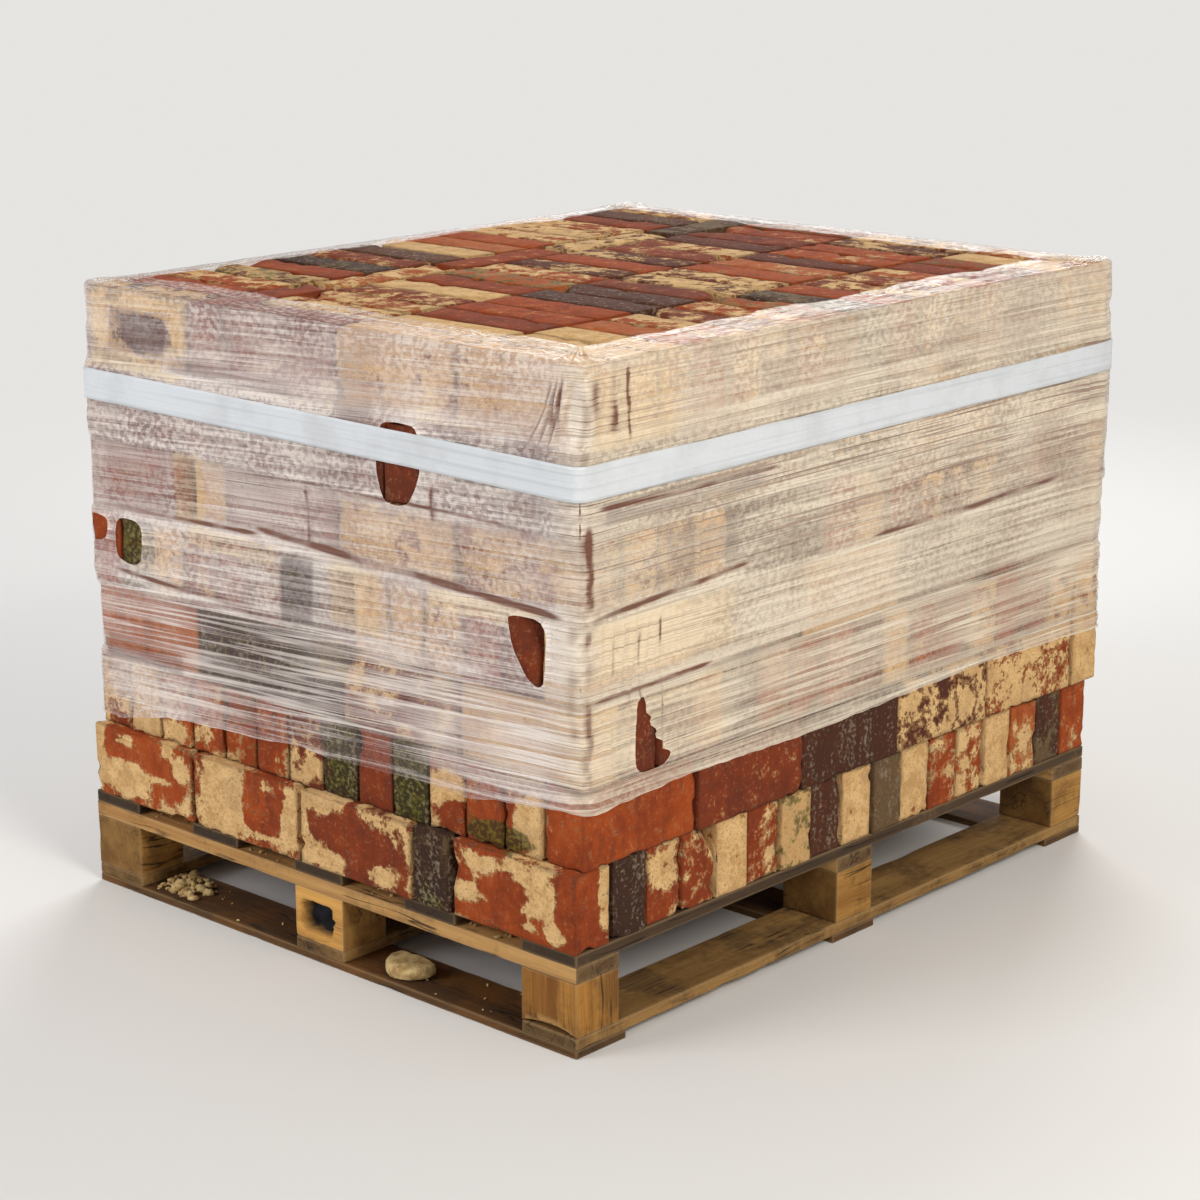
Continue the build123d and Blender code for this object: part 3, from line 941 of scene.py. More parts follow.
# The pile: how many crumbs, the corners that they lie between, how high, least and most size.
pile = [
    (90, (-0.388, -0.588), (-0.300, -0.512), 0.0, 0.0025, 0.010),
    (40, (-0.378, -0.580), (-0.312, -0.522), 0.004, 0.0035, 0.009),
    (14, (-0.362, -0.566), (-0.328, -0.536), 0.009, 0.005, 0.009),
]
for count, low, high, lift, least, most in pile:
    strew(count, low, high, board_top + lift, least, most)
crumb_points, crumb_faces = ball(2)
crumb = new_piece("one_crumb", crumb_points, crumb_faces, None, None)
bed = bpy.data.meshes.new("mortar_crumbs")
bed.from_pydata([crumb_at[:3] for crumb_at in crumbs], [], [])
store(bed, "size", np.array([crumb_at[3] for crumb_at in crumbs]))
mortar_crumbs = put_up("mortar_crumbs", bed)
raggedness = 1.1
scatter, scatter_inputs = scatter_tree()
settings = {"Crumb": crumb, "Raggedness": raggedness, "Finish": mortar_finish}
make(mortar_crumbs, scatter, scatter_inputs, settings)
enter(mortar_crumbs, ())
bpy.data.objects.remove(crumb)


# Stretch film. Clear film wound round and round the load until it is milky, pulled tight over
# the bricks that stand out. It is torn in places, roped at its hem and lapped over the top.
fan_inset = 0.05
fan_columns = 26
close_step = 0.0036
# Back, left, front and right: quarter turn, step between the film's upright lines, and how much
# of the side's start and of its end has them closer.
side_columns = [
    (1, 0.0105, 0.0, 0.0), (2, 0.0105, 0.0, 0.0), (3, 0.0076, 0.0, 0.08), (4, 0.0085, 0.22, 0.0),
]


def spaced(low, high, step, closer, stretches):
    """Places from low up to high, a step apart, and closer within the stretches."""
    places = [low]
    while places[-1] < high:
        inside = any(first <= places[-1] < last for first, last in stretches)
        places.append(places[-1] + (closer if inside else step))
    return low + (np.array(places) - low) * (high - low) / (places[-1] - low)


def wrap_columns():
    """Foot and outward direction of each upright line of the film, and the line's way round."""
    half = pallet_half - fan_inset
    feet, ways = [], []
    for quarter, step, close_start, close_end in side_columns:
        angle = quarter * math.pi / 2
        way = np.array((math.cos(angle), math.sin(angle)))
        aside = np.array((-way[1], way[0]))
        centre, run = way * half, abs(aside @ half)
        closer = [(-run, close_start - run), (run - close_end, run)]
        for place in spaced(-run, run, step, close_step, closer)[:-1]:
            feet.append(centre + aside * place)
            ways.append(way)
        for turn in np.linspace(0, math.pi / 2, fan_columns + 1)[:-1]:
            feet.append(centre + aside * run)
            ways.append(way * math.cos(turn) + aside * math.sin(turn))
    feet, ways = np.array(feet), np.array(ways)
    outline = feet + ways * fan_inset
    steps = np.linalg.norm(outline - np.roll(outline, 1, axis=0), axis=1)
    return feet, ways, outline, np.cumsum(steps) - steps[0], steps.sum()


feet, ways, outline, wrap_run, round_the_load = wrap_columns()
columns = len(feet)
front_run = wrap_run - wrap_run[np.argmin(np.hypot(*(outline - near_corner).T))]
on_front = np.clip(-ways[:, 1], 0.0, 1.0)
on_right = np.clip(ways[:, 0], 0.0, 1.0)

# The hem: metres from the near corner, or from the right or front end of a side, and height.
# It rises along the front towards the near corner, and the other sides join up with it.
front_hem = [
    (-1.01, 0.272), (-0.985, 0.276), (-0.94, 0.272), (-0.90, 0.282), (-0.84, 0.294), (-0.79, 0.300),
    (-0.70, 0.306), (-0.60, 0.309), (-0.54, 0.318), (-0.47, 0.312), (-0.37, 0.318), (-0.27, 0.322),
    (-0.20, 0.318), (-0.14, 0.328), (-0.05, 0.336), (0.01, 0.341),
]
right_hem = [
    (0.0, 0.341), (0.02, 0.334), (0.10, 0.338), (0.23, 0.346), (0.5, 0.342), (0.9, 0.350), (1.2, 0.344),
]
back_hem = [(-1.0, 0.270), (-0.7, 0.296), (-0.4, 0.318), (0.0, 0.344)]
left_hem = [(0.0, 0.272), (0.3, 0.262), (0.7, 0.276), (1.2, 0.270)]
hem_sides = [(1, -1, front_hem), (0, 1, right_hem), (1, 1, back_hem), (0, -1, left_hem)]
hem_waver = 0.0022


def read_off(line, places):
    """Values of a broken line, given by its corners, at these places."""
    return np.interp(places, *zip(*line))


def hem_height():
    """Height of the film's lower edge at each column."""
    height = np.zeros(columns)
    for axis, sign, line in hem_sides:
        level = read_off(line, outline[:, 1 - axis] - near_corner[1 - axis])
        height += np.clip(ways[:, axis] * sign, 0.0, None) ** 2 * level
    return height + hem_waver * rough(np.c_[outline, np.zeros(columns)], 38.0, 11)


# Heights of the film's rows, closer where the film parts between turns.
hem_rows = 20
hem_head = 0.372
row_step = 0.0052
close_row_step = 0.0024
close_rows = [(0.484, 0.512), (0.592, 0.624), (0.700, 0.710), (0.722, 0.748), (0.762, 0.792)]
film_top = cad_high.z + 0.0006
wall_top = film_top - 0.0015
hem = hem_height()
hem_levels = hem + (hem_head - hem) * np.linspace(0.0, 1.0, hem_rows)[:, None]
upper_levels = spaced(hem_head, wall_top, row_step, close_row_step, close_rows)[1:, None]
heights = np.concatenate([hem_levels, upper_levels + 0 * hem])
rows = len(heights)


def load_surface():
    """All the bricks as one tree, for measuring to."""
    points, faces, count = [], [], 0
    for layer in courses:
        layer.data.calc_loop_triangles()
        places = points_of(layer.data)
        corners = np.empty(len(layer.data.loop_triangles) * 3, np.int32)
        layer.data.loop_triangles.foreach_get("vertices", corners)
        points.append(places)
        faces.append(corners.reshape(-1, 3) + count)
        count += len(places)
    return BVHTree.FromPolygons(np.concatenate(points).tolist(), np.concatenate(faces).tolist())


bricks_tree = load_surface()
far_out = 0.14
ray_length = 0.2
no_brick = -0.02
top_arris = 0.005
film_clearance = 0.0007
settle_rounds = 320
top_low, top_high = (np.array(corner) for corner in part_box("brick_course_7"))
measured_at = np.minimum(heights, top_high[2] - top_arris)


def reach_of_load():
    """How far out the load comes at each point of the film, from the column's foot."""
    reach = np.full((rows, columns), no_brick)
    for column in range(columns):
        foot, way = feet[column], ways[column]
        start = foot + way * far_out
        inward = Vector((-way[0], -way[1], 0.0))
        for row in range(rows):
            outside = Vector((start[0], start[1], measured_at[row, column]))
            hit = bricks_tree.ray_cast(outside, inward, ray_length)
            if hit[3] is not None:
                reach[row, column] = far_out - hit[3]
    return reach


def settle(reach, sideways, upright, rounds):
    """Film drawn tight over the load: each point is pulled towards its neighbours."""
    depth = reach.copy()
    for _ in range(rounds):
        place = feet + ways * depth[..., None]
        beside = (np.roll(place, 1, axis=1) + np.roll(place, -1, axis=1)) / 2
        pulled = ((beside - feet) * ways).sum(-1)
        padded = np.concatenate([depth[:1], depth, depth[-1:]])
        level = (padded[:-2] + padded[2:]) / 2
        depth = np.maximum(reach, (sideways * pulled + upright * level) / (sideways + upright))
    return depth


def widened(field):
    """The most of each point and the points round it, so that no corner pokes through."""
    padded = np.concatenate([field[:1], field, field[-1:]])
    most = field
    for down in range(3):
        for along in (-1, 0, 1):
            most = np.maximum(most, np.roll(padded[down:down + len(field)], along, axis=1))
    return most


load_reach = reach_of_load()
clear_of_load = widened(load_reach) + film_clearance
depth = settle(clear_of_load, 0.75, 0.25, settle_rounds)

# The tape presses the film in along its line, a little below the top course. The line sinks
# slightly towards the near corner.
band_sink = 0.004
sunk_at = [(-1.05, 0.0), (0.0, band_sink), (0.25, 1.6 * band_sink), (1.0, 0.5 * band_sink), (1.2, 0.0)]
band_drop = read_off(sunk_at, front_run)
band_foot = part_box("tape_band")[0].z - band_drop
band_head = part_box("tape_band")[1].z - band_drop
band_margin = 0.006
band_gap = 0.0008
band_rounds = 1500
film_under_band = 0.0006
press_width = 0.02
press_depth = 0.010


def by_band(margin):
    """Which film points lie behind the tape, or within a margin of it."""
    return (heights > band_foot - margin) & (heights < band_head + margin)


under_band = np.where(by_band(band_margin), depth, -1.0).max(0)[None, :]
band_depth = settle(under_band + band_gap, 1.0, 0.0, band_rounds)[0]
in_band = by_band(0.001)
depth = np.where(in_band, np.minimum(depth, band_depth - film_under_band), depth)
from_edge = np.minimum(abs(heights - band_foot), abs(heights - band_head))
pressed = np.minimum(depth, band_depth + press_depth) - depth
depth = np.where(in_band, depth, depth + pressed * np.clip(1.0 - from_edge / press_width, 0.0, 1.0))
depth = np.maximum(depth, np.where(in_band, -1.0, clear_of_load))

# Folds that run up and down: distance along from the near corner, lowest and highest point,
# how far the foot leans left, width and height, all in metres.
folds = [
    (-0.040, 0.812, 0.905, 0.036, 0.008, 0.0085), (-0.027, 0.812, 0.910, 0.030, 0.008, 0.0090),
    (-0.014, 0.812, 0.914, 0.024, 0.008, 0.0095), (0.014, 0.815, 0.916, 0.002, 0.020, 0.0090),
    (0.062, 0.81, 0.915, -0.004, 0.010, 0.0040), (0.030, 0.52, 0.60, -0.004, 0.006, 0.0030),
    (0.052, 0.50, 0.60, 0.004, 0.006, 0.0035), (0.140, 0.48, 0.60, 0.010, 0.006, 0.0030),
    (0.075, 0.48, 0.60, 0.010, 0.006, 0.0035), (0.098, 0.47, 0.60, 0.018, 0.006, 0.0040),
    (0.122, 0.49, 0.59, 0.012, 0.007, 0.0030), (0.190, 0.48, 0.585, 0.004, 0.006, 0.0025),
    (0.085, 0.37, 0.475, 0.006, 0.006, 0.0030), (0.045, 0.36, 0.47, -0.006, 0.007, 0.0030),
    (0.225, 0.60, 0.74, 0.008, 0.007, 0.0040), (-0.245, 0.60, 0.75, 0.004, 0.005, 0.0022),
    (-0.232, 0.39, 0.48, 0.004, 0.006, 0.0022), (0.016, 0.50, 0.60, -0.006, 0.007, 0.0035),
    (1.17, 0.40, 0.90, 0.010, 0.010, 0.0040), (1.14, 0.50, 0.80, 0.020, 0.008, 0.0040),
    (-2.26, 0.35, 0.70, 0.012, 0.009, 0.0045), (-2.21, 0.45, 0.90, -0.01, 0.008, 0.0040),
    (-2.95, 0.36, 0.62, 0.012, 0.009, 0.0035), (-1.62, 0.58, 0.80, 0.010, 0.009, 0.0035),
    (-1.03, 0.35, 0.60, 0.006, 0.008, 0.0030), (0.70, 0.40, 0.55, 0.010, 0.009, 0.0030),
]
pleat_least_height = 0.008
pleat_most_width = 0.01
fold_ends = 0.025


def between(values, low, high, reach):
    """1 well between two limits, and fading to 0 at each of them."""
    return np.clip(np.minimum(values - low, high - values) / reach, 0.0, 1.0)


def ridge(offset, width):
    """A bell over the offset, 1 at its middle."""
    return np.exp(-((offset / width) ** 2))


fold_height = np.zeros_like(heights)
fold_shade = np.zeros_like(heights)
for start, foot, head, lean, width, height in folds:
    share = np.clip((heights - foot) / (head - foot), 0.0, 1.0)
    offset = front_run - start + lean * (1.0 - share) ** 2
    across = np.clip(1.0 - abs(offset) / width, 0.0, 1.0)
    ends = between(heights, foot, head, fold_ends)
    fold_height += height * (3 * across**2 - 2 * across**3) * ends
    if height > pleat_least_height and width < pleat_most_width:
        fold_shade += ridge(offset + 0.8 * width, 0.45 * width) * ends

# Ropes: the film gathers into near level ridges, most of all low on the front. How much, by
# height and by the distance along from the near corner.
rope_slope = 0.055
fine_rope_height = 0.0016
wide_rope_height = 0.0011
roped_up = [
    (0.27, 0.3), (0.31, 0.7), (0.38, 1.0), (0.47, 1.0), (0.52, 0.55), (0.62, 0.4), (0.75, 0.3), (0.93, 0.25),
]
roped_along = [(-1.1, 0.7), (-0.95, 0.6), (-0.7, 1.0), (0.0, 0.9), (0.05, 0.6), (0.3, 0.7), (1.2, 0.8)]
along, nothing = front_run + 0 * heights, 0 * heights
sloped = heights - rope_slope * np.clip(front_run, -1.05, 0.0)


def rough_over(upward, scale, seed):
    """Smooth noise over the wrap laid flat, given its upward measure, with a scale each way."""
    flat = np.stack([along, nothing, upward], axis=-1).reshape(-1, 3)
    return rough(flat * scale, 1.0, seed).reshape(heights.shape)


rope_fine = rough_over(sloped, (1.1, 1.0, 92.0), 21)
rope_wide = rough_over(sloped, (0.7, 1.0, 34.0), 22)
roped = read_off(roped_up, heights) * read_off(roped_along, front_run)
ropes = roped * (fine_rope_height * (1.0 - abs(rope_fine) * 2.0) + wide_rope_height * rope_wide)

# The lowest edge is rolled into a cord.
deepest_rope = -0.0004
roll_height = 0.0016
roll_middle = 0.003
roll_width = 0.0035
hem_roll = roll_height * ridge(heights - hem - roll_middle, roll_width)
relief = np.where(in_band, 0.0, fold_height + np.maximum(ropes, deepest_rope))
depth_dressed = depth + relief + hem_roll
walls = np.concatenate([feet + ways * depth_dressed[..., None], heights[..., None]], axis=-1)
walls = walls.reshape(-1, 3)

# Tears: outlines in metres from the near corner along the side and up from the ground.
tears = {
    "front": [
        [(-0.281, 0.812), (-0.318, 0.814), (-0.350, 0.811), (-0.358, 0.800), (-0.364, 0.752),
         (-0.357, 0.720), (-0.346, 0.702), (-0.322, 0.700), (-0.303, 0.706), (-0.292, 0.722),
         (-0.278, 0.752)],
        [(-0.054, 0.590), (-0.125, 0.588), (-0.124, 0.572), (-0.116, 0.545), (-0.107, 0.530),
         (-0.088, 0.505), (-0.070, 0.498), (-0.058, 0.507)],
        [(-0.948, 0.584), (-0.992, 0.587), (-0.992, 0.549), (-0.975, 0.544), (-0.950, 0.553)],
        [(-0.868, 0.588), (-0.930, 0.589), (-0.931, 0.529), (-0.900, 0.519), (-0.871, 0.525)],
    ],
    "right": [
        [(0.108, 0.372), (0.106, 0.420), (0.110, 0.469), (0.122, 0.479), (0.129, 0.462), (0.123, 0.456),
         (0.139, 0.445), (0.131, 0.437), (0.150, 0.425), (0.141, 0.417), (0.163, 0.406), (0.151, 0.400),
         (0.180, 0.388), (0.158, 0.372)],
    ],
}
untorn = 1.0
snap = 0.0040
rim_reach = 0.009
curl_height = 0.0022


def smooth_outline(corners, rounds=2):
    """An outline with its corners cut, so that it reads as stretched film."""
    points = np.array(corners)
    for _ in range(rounds):
        ahead = np.roll(points, -1, axis=0)
        points = np.stack([points * 0.8 + ahead * 0.2, points * 0.2 + ahead * 0.8], 1).reshape(-1, 2)
    return points


def to_outline(places, corners):
    """Signed distance to an outline, negative inside, and the nearest place on it."""
    ahead = np.roll(corners, -1, axis=0)
    best = np.full(len(places), 9.0)
    nearest = places.copy()
    inside = np.zeros(len(places), bool)
    for one, two in zip(corners, ahead):
        run = two - one
        share = np.clip(((places - one) @ run) / (run @ run), 0.0, 1.0)
        foot = one + share[:, None] * run
        gap = np.linalg.norm(places - foot, axis=1)
        closer = gap < best
        best = np.where(closer, gap, best)
        nearest[closer] = foot[closer]
        crosses = (one[1] > places[:, 1]) != (two[1] > places[:, 1])
        with np.errstate(divide="ignore", invalid="ignore"):
            at = one[0] + (places[:, 1] - one[1]) / (two[1] - one[1]) * run[0]
        inside ^= crosses & (places[:, 0] < at)
    return np.where(inside, -best, best), nearest


to_tear = np.full(len(walls), untorn)
for side, outlines in tears.items():
    axis = 0 if side == "front" else 1
    on_side = np.tile((on_front if side == "front" else on_right) > 0.75, rows)
    for corners in outlines:
        spread = walls[:, (axis, 2)] - (near_corner[axis], 0.0)
        gap, nearest = to_outline(spread, smooth_outline(corners))
        gap = np.where(on_side, gap, untorn)
        close = abs(gap) < snap
        walls[close, axis] = nearest[close, 0] + near_corner[axis]
        walls[close, 2] = nearest[close, 1]
        gap = np.where(close, 0.0, gap)
        to_tear = np.where(abs(gap) < abs(to_tear), gap, to_tear)
curl = np.clip(1.0 - to_tear / rim_reach, 0.0, 1.0) ** 2 * (to_tear >= 0)
walls[:, :2] += np.tile(ways, (rows, 1)) * (curl_height * curl)[:, None]

# The lap: the film is pushed over the top edge and pleated at the corners.
lap_rows = 12
lap_width = 0.085
left_lap_width = 0.055
lap_gather = 1.25
crowd = 0.10
crease_height = 0.0012
pleat_step = 0.021
pleat_height = 0.0026
corner_lift = 0.0022
free_edge_lift = 0.0045
lap_clearance = 0.0010
probe_height = 0.03


def rough_on(flat, height, scale, seed):
    """Smooth noise at places of a level plane."""
    return rough(np.c_[flat, np.full(columns, height)], scale, seed)


edge_line = walls.reshape(rows, columns, 3)[-1, :, :2]
inner_low = np.array((top_low[0] + left_lap_width, top_low[1] + lap_width))
inner_high = top_high[:2] - lap_width
inner_line = np.clip(edge_line, inner_low, inner_high)
at_corner = np.minimum(abs(ways[:, :1]), abs(ways[:, 1:])) > 0.02
inner_line += (edge_line - inner_line) * crowd * at_corner
ragged = rough_on(edge_line, 1.0, 9.0, 31) * 0.016 + rough_on(edge_line, 1.0, 33.0, 32) * 0.006
away = edge_line - inner_line
away /= np.maximum(np.linalg.norm(away, axis=1, keepdims=True), 1e-6)
inner_line = inner_line + away * ragged[:, None]
corner_share = np.clip(np.minimum(abs(ways[:, 0]), abs(ways[:, 1])) * 4.0, 0.0, 1.0)
lap_shares = (np.arange(1, lap_rows + 1) / lap_rows) ** lap_gather
lap_flat = [edge_line + (inner_line - edge_line) * share for share in lap_shares]
brick_tops = np.full((lap_rows, columns), film_top)
for step, flat in enumerate(lap_flat):
    for column, (x, y) in enumerate(flat):
        above = Vector((x, y, film_top + probe_height))
        hit = bricks_tree.ray_cast(above, Vector((0, 0, -1)), 2 * probe_height)
        if hit[0] is not None:
            brick_tops[step, column] = max(film_top, hit[0].z)
brick_tops = widened(brick_tops)
lap_points = []
for step, (share, flat) in enumerate(zip(lap_shares, lap_flat), 1):
    crease = crease_height * (rough_on(flat, step * 0.004, 26.0, 33) + 0.6)
    wave = np.cos(front_run * 2 * math.pi / pleat_step)
    pleat = wave * pleat_height * corner_share * min(1.0, step / 3)
    lift = brick_tops[step - 1] + lap_clearance + crease + np.maximum(pleat, 0.0)
    lift += corner_share * corner_lift
    free = max(0.0, share - 0.8) * 5
    lift += free_edge_lift * free * (0.5 + 0.5 * rough_on(flat, 1.0, 14.0, 34))
    lap_points.append(np.c_[flat, lift])


def with_lap(field, on_lap):
    """A number for each point of the walls, and one for all of the lap."""
    return np.concatenate([field.reshape(-1), np.full(lap_rows * columns, on_lap)])


def ring_quads(ring_count):
    """Outward quads between rings of points, each as long as the film has columns."""
    index = np.arange(ring_count * columns).reshape(ring_count, columns)
    ahead = np.roll(index, -1, axis=1)
    return np.stack([index[:-1], ahead[:-1], ahead[1:], index[1:]], -1).reshape(-1, 4)


# Faces: whole quads, and half quads along the rims of the tears.
film_points = np.concatenate([walls] + lap_points)
film_rows = rows + lap_rows
film_quads = ring_quads(film_rows)
gaps = with_lap(to_tear, untorn)[film_quads]
torn = (gaps.min(1) < 0) | (gaps.max(1) <= 0)
one_corner_torn = ((gaps < 0).sum(1) == 1) & (gaps.max(1) > 0)
halves = []
for quad, gap in zip(film_quads[one_corner_torn], gaps[one_corner_torn]):
    lost = int(np.argmin(gap))
    if gap[lost - 1] == 0 and gap[(lost + 1) % 4] == 0:
        halves.append([quad[(lost + step) % 4] for step in (1, 2, 3)])
film_faces = film_quads[~torn].tolist() + halves

# How milky the film is: middle and half size of a zone in metres, and how much more or less.
veil_zones = [
    (-0.85, 0.335, 0.14, 0.045, 0.20), (-0.88, 0.46, 0.10, 0.03, 0.0), (-0.63, 0.435, 0.13, 0.050, -0.26),
    (-0.53, 0.545, 0.035, 0.045, -0.14), (-0.37, 0.325, 0.14, 0.034, -0.30),
    (-0.60, 0.36, 0.10, 0.03, -0.10), (-0.14, 0.40, 0.15, 0.07, 0.20),
    (-0.02, 0.56, 0.03, 0.05, 0.25), (-0.75, 0.81, 0.25, 0.012, 0.20),
    (-0.28, 0.87, 0.22, 0.05, -0.06), (-0.75, 0.655, 0.035, 0.05, -0.20), (-0.86, 0.87, 0.08, 0.04, -0.16),
    # The zone at 0.008 along and 0.862 up, by the near corner's top course, is made milky and white as a
    # painted highlight on a lit facet.
    (-0.30, 0.65, 0.20, 0.04, -0.08), (0.008, 0.862, 0.014, 0.036, 0.55), (-0.72, 0.507, 0.09, 0.006, -0.25),
    (-0.34, 0.54, 0.10, 0.035, -0.10), (0.16, 0.43, 0.14, 0.05, 0.16), (0.12, 0.55, 0.12, 0.035, 0.30),
    # The zone at 0.18 along and 0.68 up on the right side is made clearer, so the film reads darker there:
    # painted shade.
    (0.18, 0.68, 0.16, 0.055, -0.06), (0.10, 0.775, 0.12, 0.012, -0.10), (-0.95, 0.74, 0.05, 0.05, -0.10),
]
clearer_on_front = [(0.27, 0.24), (0.36, 0.14), (0.50, 0.10), (0.62, 0.09), (0.76, 0.0)]
veil = -on_front * read_off(clearer_on_front, heights)
for middle, level, half_width, half_height, amount in veil_zones:
    beyond = np.hypot((along - middle) / half_width, (heights - level) / half_height)
    share = np.clip((1.3 - beyond) / 0.6, 0.0, 1.0)
    veil = veil * (1.0 - 0.6 * share) + amount * share

# Each turn of film ends in an edge, which steps in thickness across the load: height at the near
# corner, slope, and how much milkier the film is above the edge.
turn_edges = [
    (0.492, 0.012, 0.20), (0.603, -0.018, -0.12), (0.706, -0.004, 0.10), (0.832, 0.010, -0.08),
    (0.386, 0.045, 0.10), (0.655, 0.030, 0.05),
]
for level, slope, amount in turn_edges:
    offset = heights - level - slope * front_run
    veil += amount * 0.5 * np.tanh(offset / 0.0025) + 0.16 * ridge(offset, 0.004)

# What colour the bricks give the film: middle and half size in metres, then 1 for cream mortar
# or -1 for dark or mossy clay.
tint_zones = [
    (-0.862, 0.866, 0.105, 0.056, 1.0), (-0.864, 0.868, 0.066, 0.032, -1.1),
    (-0.755, 0.655, 0.030, 0.050, 1.1), (-0.525, 0.545, 0.034, 0.046, -0.9),
    (-0.405, 0.555, 0.050, 0.045, 0.8), (-0.16, 0.584, 0.10, 0.014, 0.9),
    (-0.66, 0.585, 0.10, 0.016, 0.5), (-0.30, 0.655, 0.16, 0.045, 0.3), (-0.62, 0.66, 0.09, 0.045, -0.3),
    (-0.87, 0.655, 0.07, 0.05, -0.35), (-0.87, 0.385, 0.09, 0.018, -0.9), (-0.85, 0.545, 0.05, 0.035, 0.4),
    (-0.55, 0.86, 0.16, 0.05, 0.15), (-0.40, 0.85, 0.035, 0.055, -0.5), (-0.22, 0.86, 0.06, 0.05, 0.25),
    (-0.44, 0.46, 0.05, 0.03, 0.4), (-0.20, 0.44, 0.07, 0.035, 0.3), (0.10, 0.66, 0.10, 0.05, -0.25),
    (0.20, 0.732, 0.17, 0.016, -0.7), (0.24, 0.66, 0.07, 0.03, -0.5),
    (0.16, 0.55, 0.14, 0.04, 0.8), (0.14, 0.43, 0.14, 0.05, 0.5), (0.10, 0.865, 0.08, 0.05, 0.6),
    (-0.44, 0.655, 0.03, 0.045, -0.4), (-0.66, 0.83, 0.14, 0.012, -0.5), (-0.30, 0.325, 0.12, 0.03, -0.3),
]
tint = np.zeros_like(heights)
for middle, level, half_width, half_height, amount in tint_zones:
    beyond = np.maximum(abs(along - middle) / half_width, abs(heights - level) / half_height)
    share = np.clip((1.12 - beyond) / 0.24, 0.0, 1.0)
    tint = tint * (1.0 - share) + amount * share

# Slits between turns, where the film parted: start and end along the side, height at each and
# half the width, in metres. The bricks show through them.
slits = [
    (-0.96, -0.60, 0.600, 0.611, 0.0028), (-0.62, -0.01, 0.619, 0.598, 0.0042),
    (-0.95, -0.62, 0.507, 0.497, 0.0028), (-0.52, -0.10, 0.703, 0.707, 0.0022),
    (0.01, 0.40, 0.783, 0.781, 0.0022), (0.01, 0.30, 0.771, 0.767, 0.0026),
    (0.02, 0.40, 0.742, 0.738, 0.0022), (0.01, 0.34, 0.598, 0.616, 0.0032),
    (0.01, 0.26, 0.487, 0.493, 0.0026), (0.60, 1.10, 0.600, 0.608, 0.0030),
    (-3.0, -2.4, 0.614, 0.600, 0.0032), (-2.0, -1.4, 0.603, 0.598, 0.0030),
]
stain = np.zeros_like(heights)
slit_wander = 0.003 * rough(np.c_[front_run, np.zeros((columns, 2))], 9.0, 61)
for start, end, first, last, half in slits:
    offset = heights - first - (last - first) * (front_run - start) / (end - start) - slit_wander
    ends = between(front_run, start, end, 0.04)
    stain += 2.0 * ridge(offset, half) * ends
    veil += 0.30 * ridge(offset + 3.4 * half, 2.0 * half) * ends

# Upright joints that show as a dark line: distance along from the near corner, lowest and highest point, and
# half the width. The two lines at -0.022 and -0.033, high by the near corner, are painted shade between the
# pleats.
joints = [
    (-0.248, 0.605, 0.745, 0.0040), (0.013, 0.36, 0.59, 0.0036), (0.015, 0.61, 0.79, 0.0036),
    (0.060, 0.82, 0.915, 0.0055), (0.090, 0.82, 0.92, 0.0026), (0.056, 0.50, 0.57, 0.0020),
    (0.084, 0.47, 0.58, 0.0024), (0.108, 0.46, 0.57, 0.0018), (0.150, 0.36, 0.58, 0.0016),
    (0.030, 0.82, 0.91, 0.0085), (-0.022, 0.815, 0.90, 0.0022), (-0.033, 0.815, 0.89, 0.0022),
    (-0.5, 0.61, 0.70, 0.004),
]
for place, foot, head, half in joints:
    down_the_joint = np.c_[heights.mean(1), np.full((rows, 2), place)]
    wander = 0.0045 * rough(down_the_joint, 34.0, 63)[:, None]
    broken = np.clip(0.80 + 2.0 * rough(down_the_joint, 22.0, 64), 0.15, 1.2)[:, None]
    stain += 1.4 * broken * ridge(along - place - wander, half) * between(heights, foot, head, 0.015)

# The pleats lie in their own shade, which is painted into the film as darker, browner colour, the near
# corner's arris is worn, and the film is thick at its hem, its folds and the curled rims of its tears.
# Painted shade beside the pleats: a darker tint and a brown stain.
tint = np.maximum(tint - 2.0 * fold_shade, -1.2)
stain += 0.45 * fold_shade
spots = np.clip(rough_over(heights, np.array((2.2, 1.0, 1.0)) * 30.0, 62), 0.0, 1.0)
worn_spots = ridge(along - 0.006, 0.013) * between(heights, 0.35, 0.91, 0.03) * spots
stain += 1.6 * worn_spots
veil += 0.08 * on_right - 0.10 * fold_shade - 0.4 * worn_spots
veil += 0.25 * np.clip(1.0 - (heights - hem) / 0.010, 0.0, 1.0)
veil += 0.12 * curl.reshape(heights.shape) + 12.0 * np.clip(fold_height, 0.0, 0.012)
# How creased the film is by height; its creases are drawn as dark lines, painted shade in the creases.
creased_up = [(0.40, 0.22), (0.60, 0.25), (0.63, 0.60), (0.76, 0.75), (0.80, 0.30), (0.92, 0.38)]
creased = read_off(creased_up, heights) * (on_right + 0.3 * on_front)
# The film on the right side, and a little on the back, is painted a warm cream: painted sunlight.
sunward = on_right + 0.4 * np.clip(ways[:, 1], 0.0, 1.0)
touching = 0.0012
touch_fade = 0.0035
touch = np.clip(1.0 - (depth_dressed - load_reach - touching) / touch_fade, 0.0, 1.0)


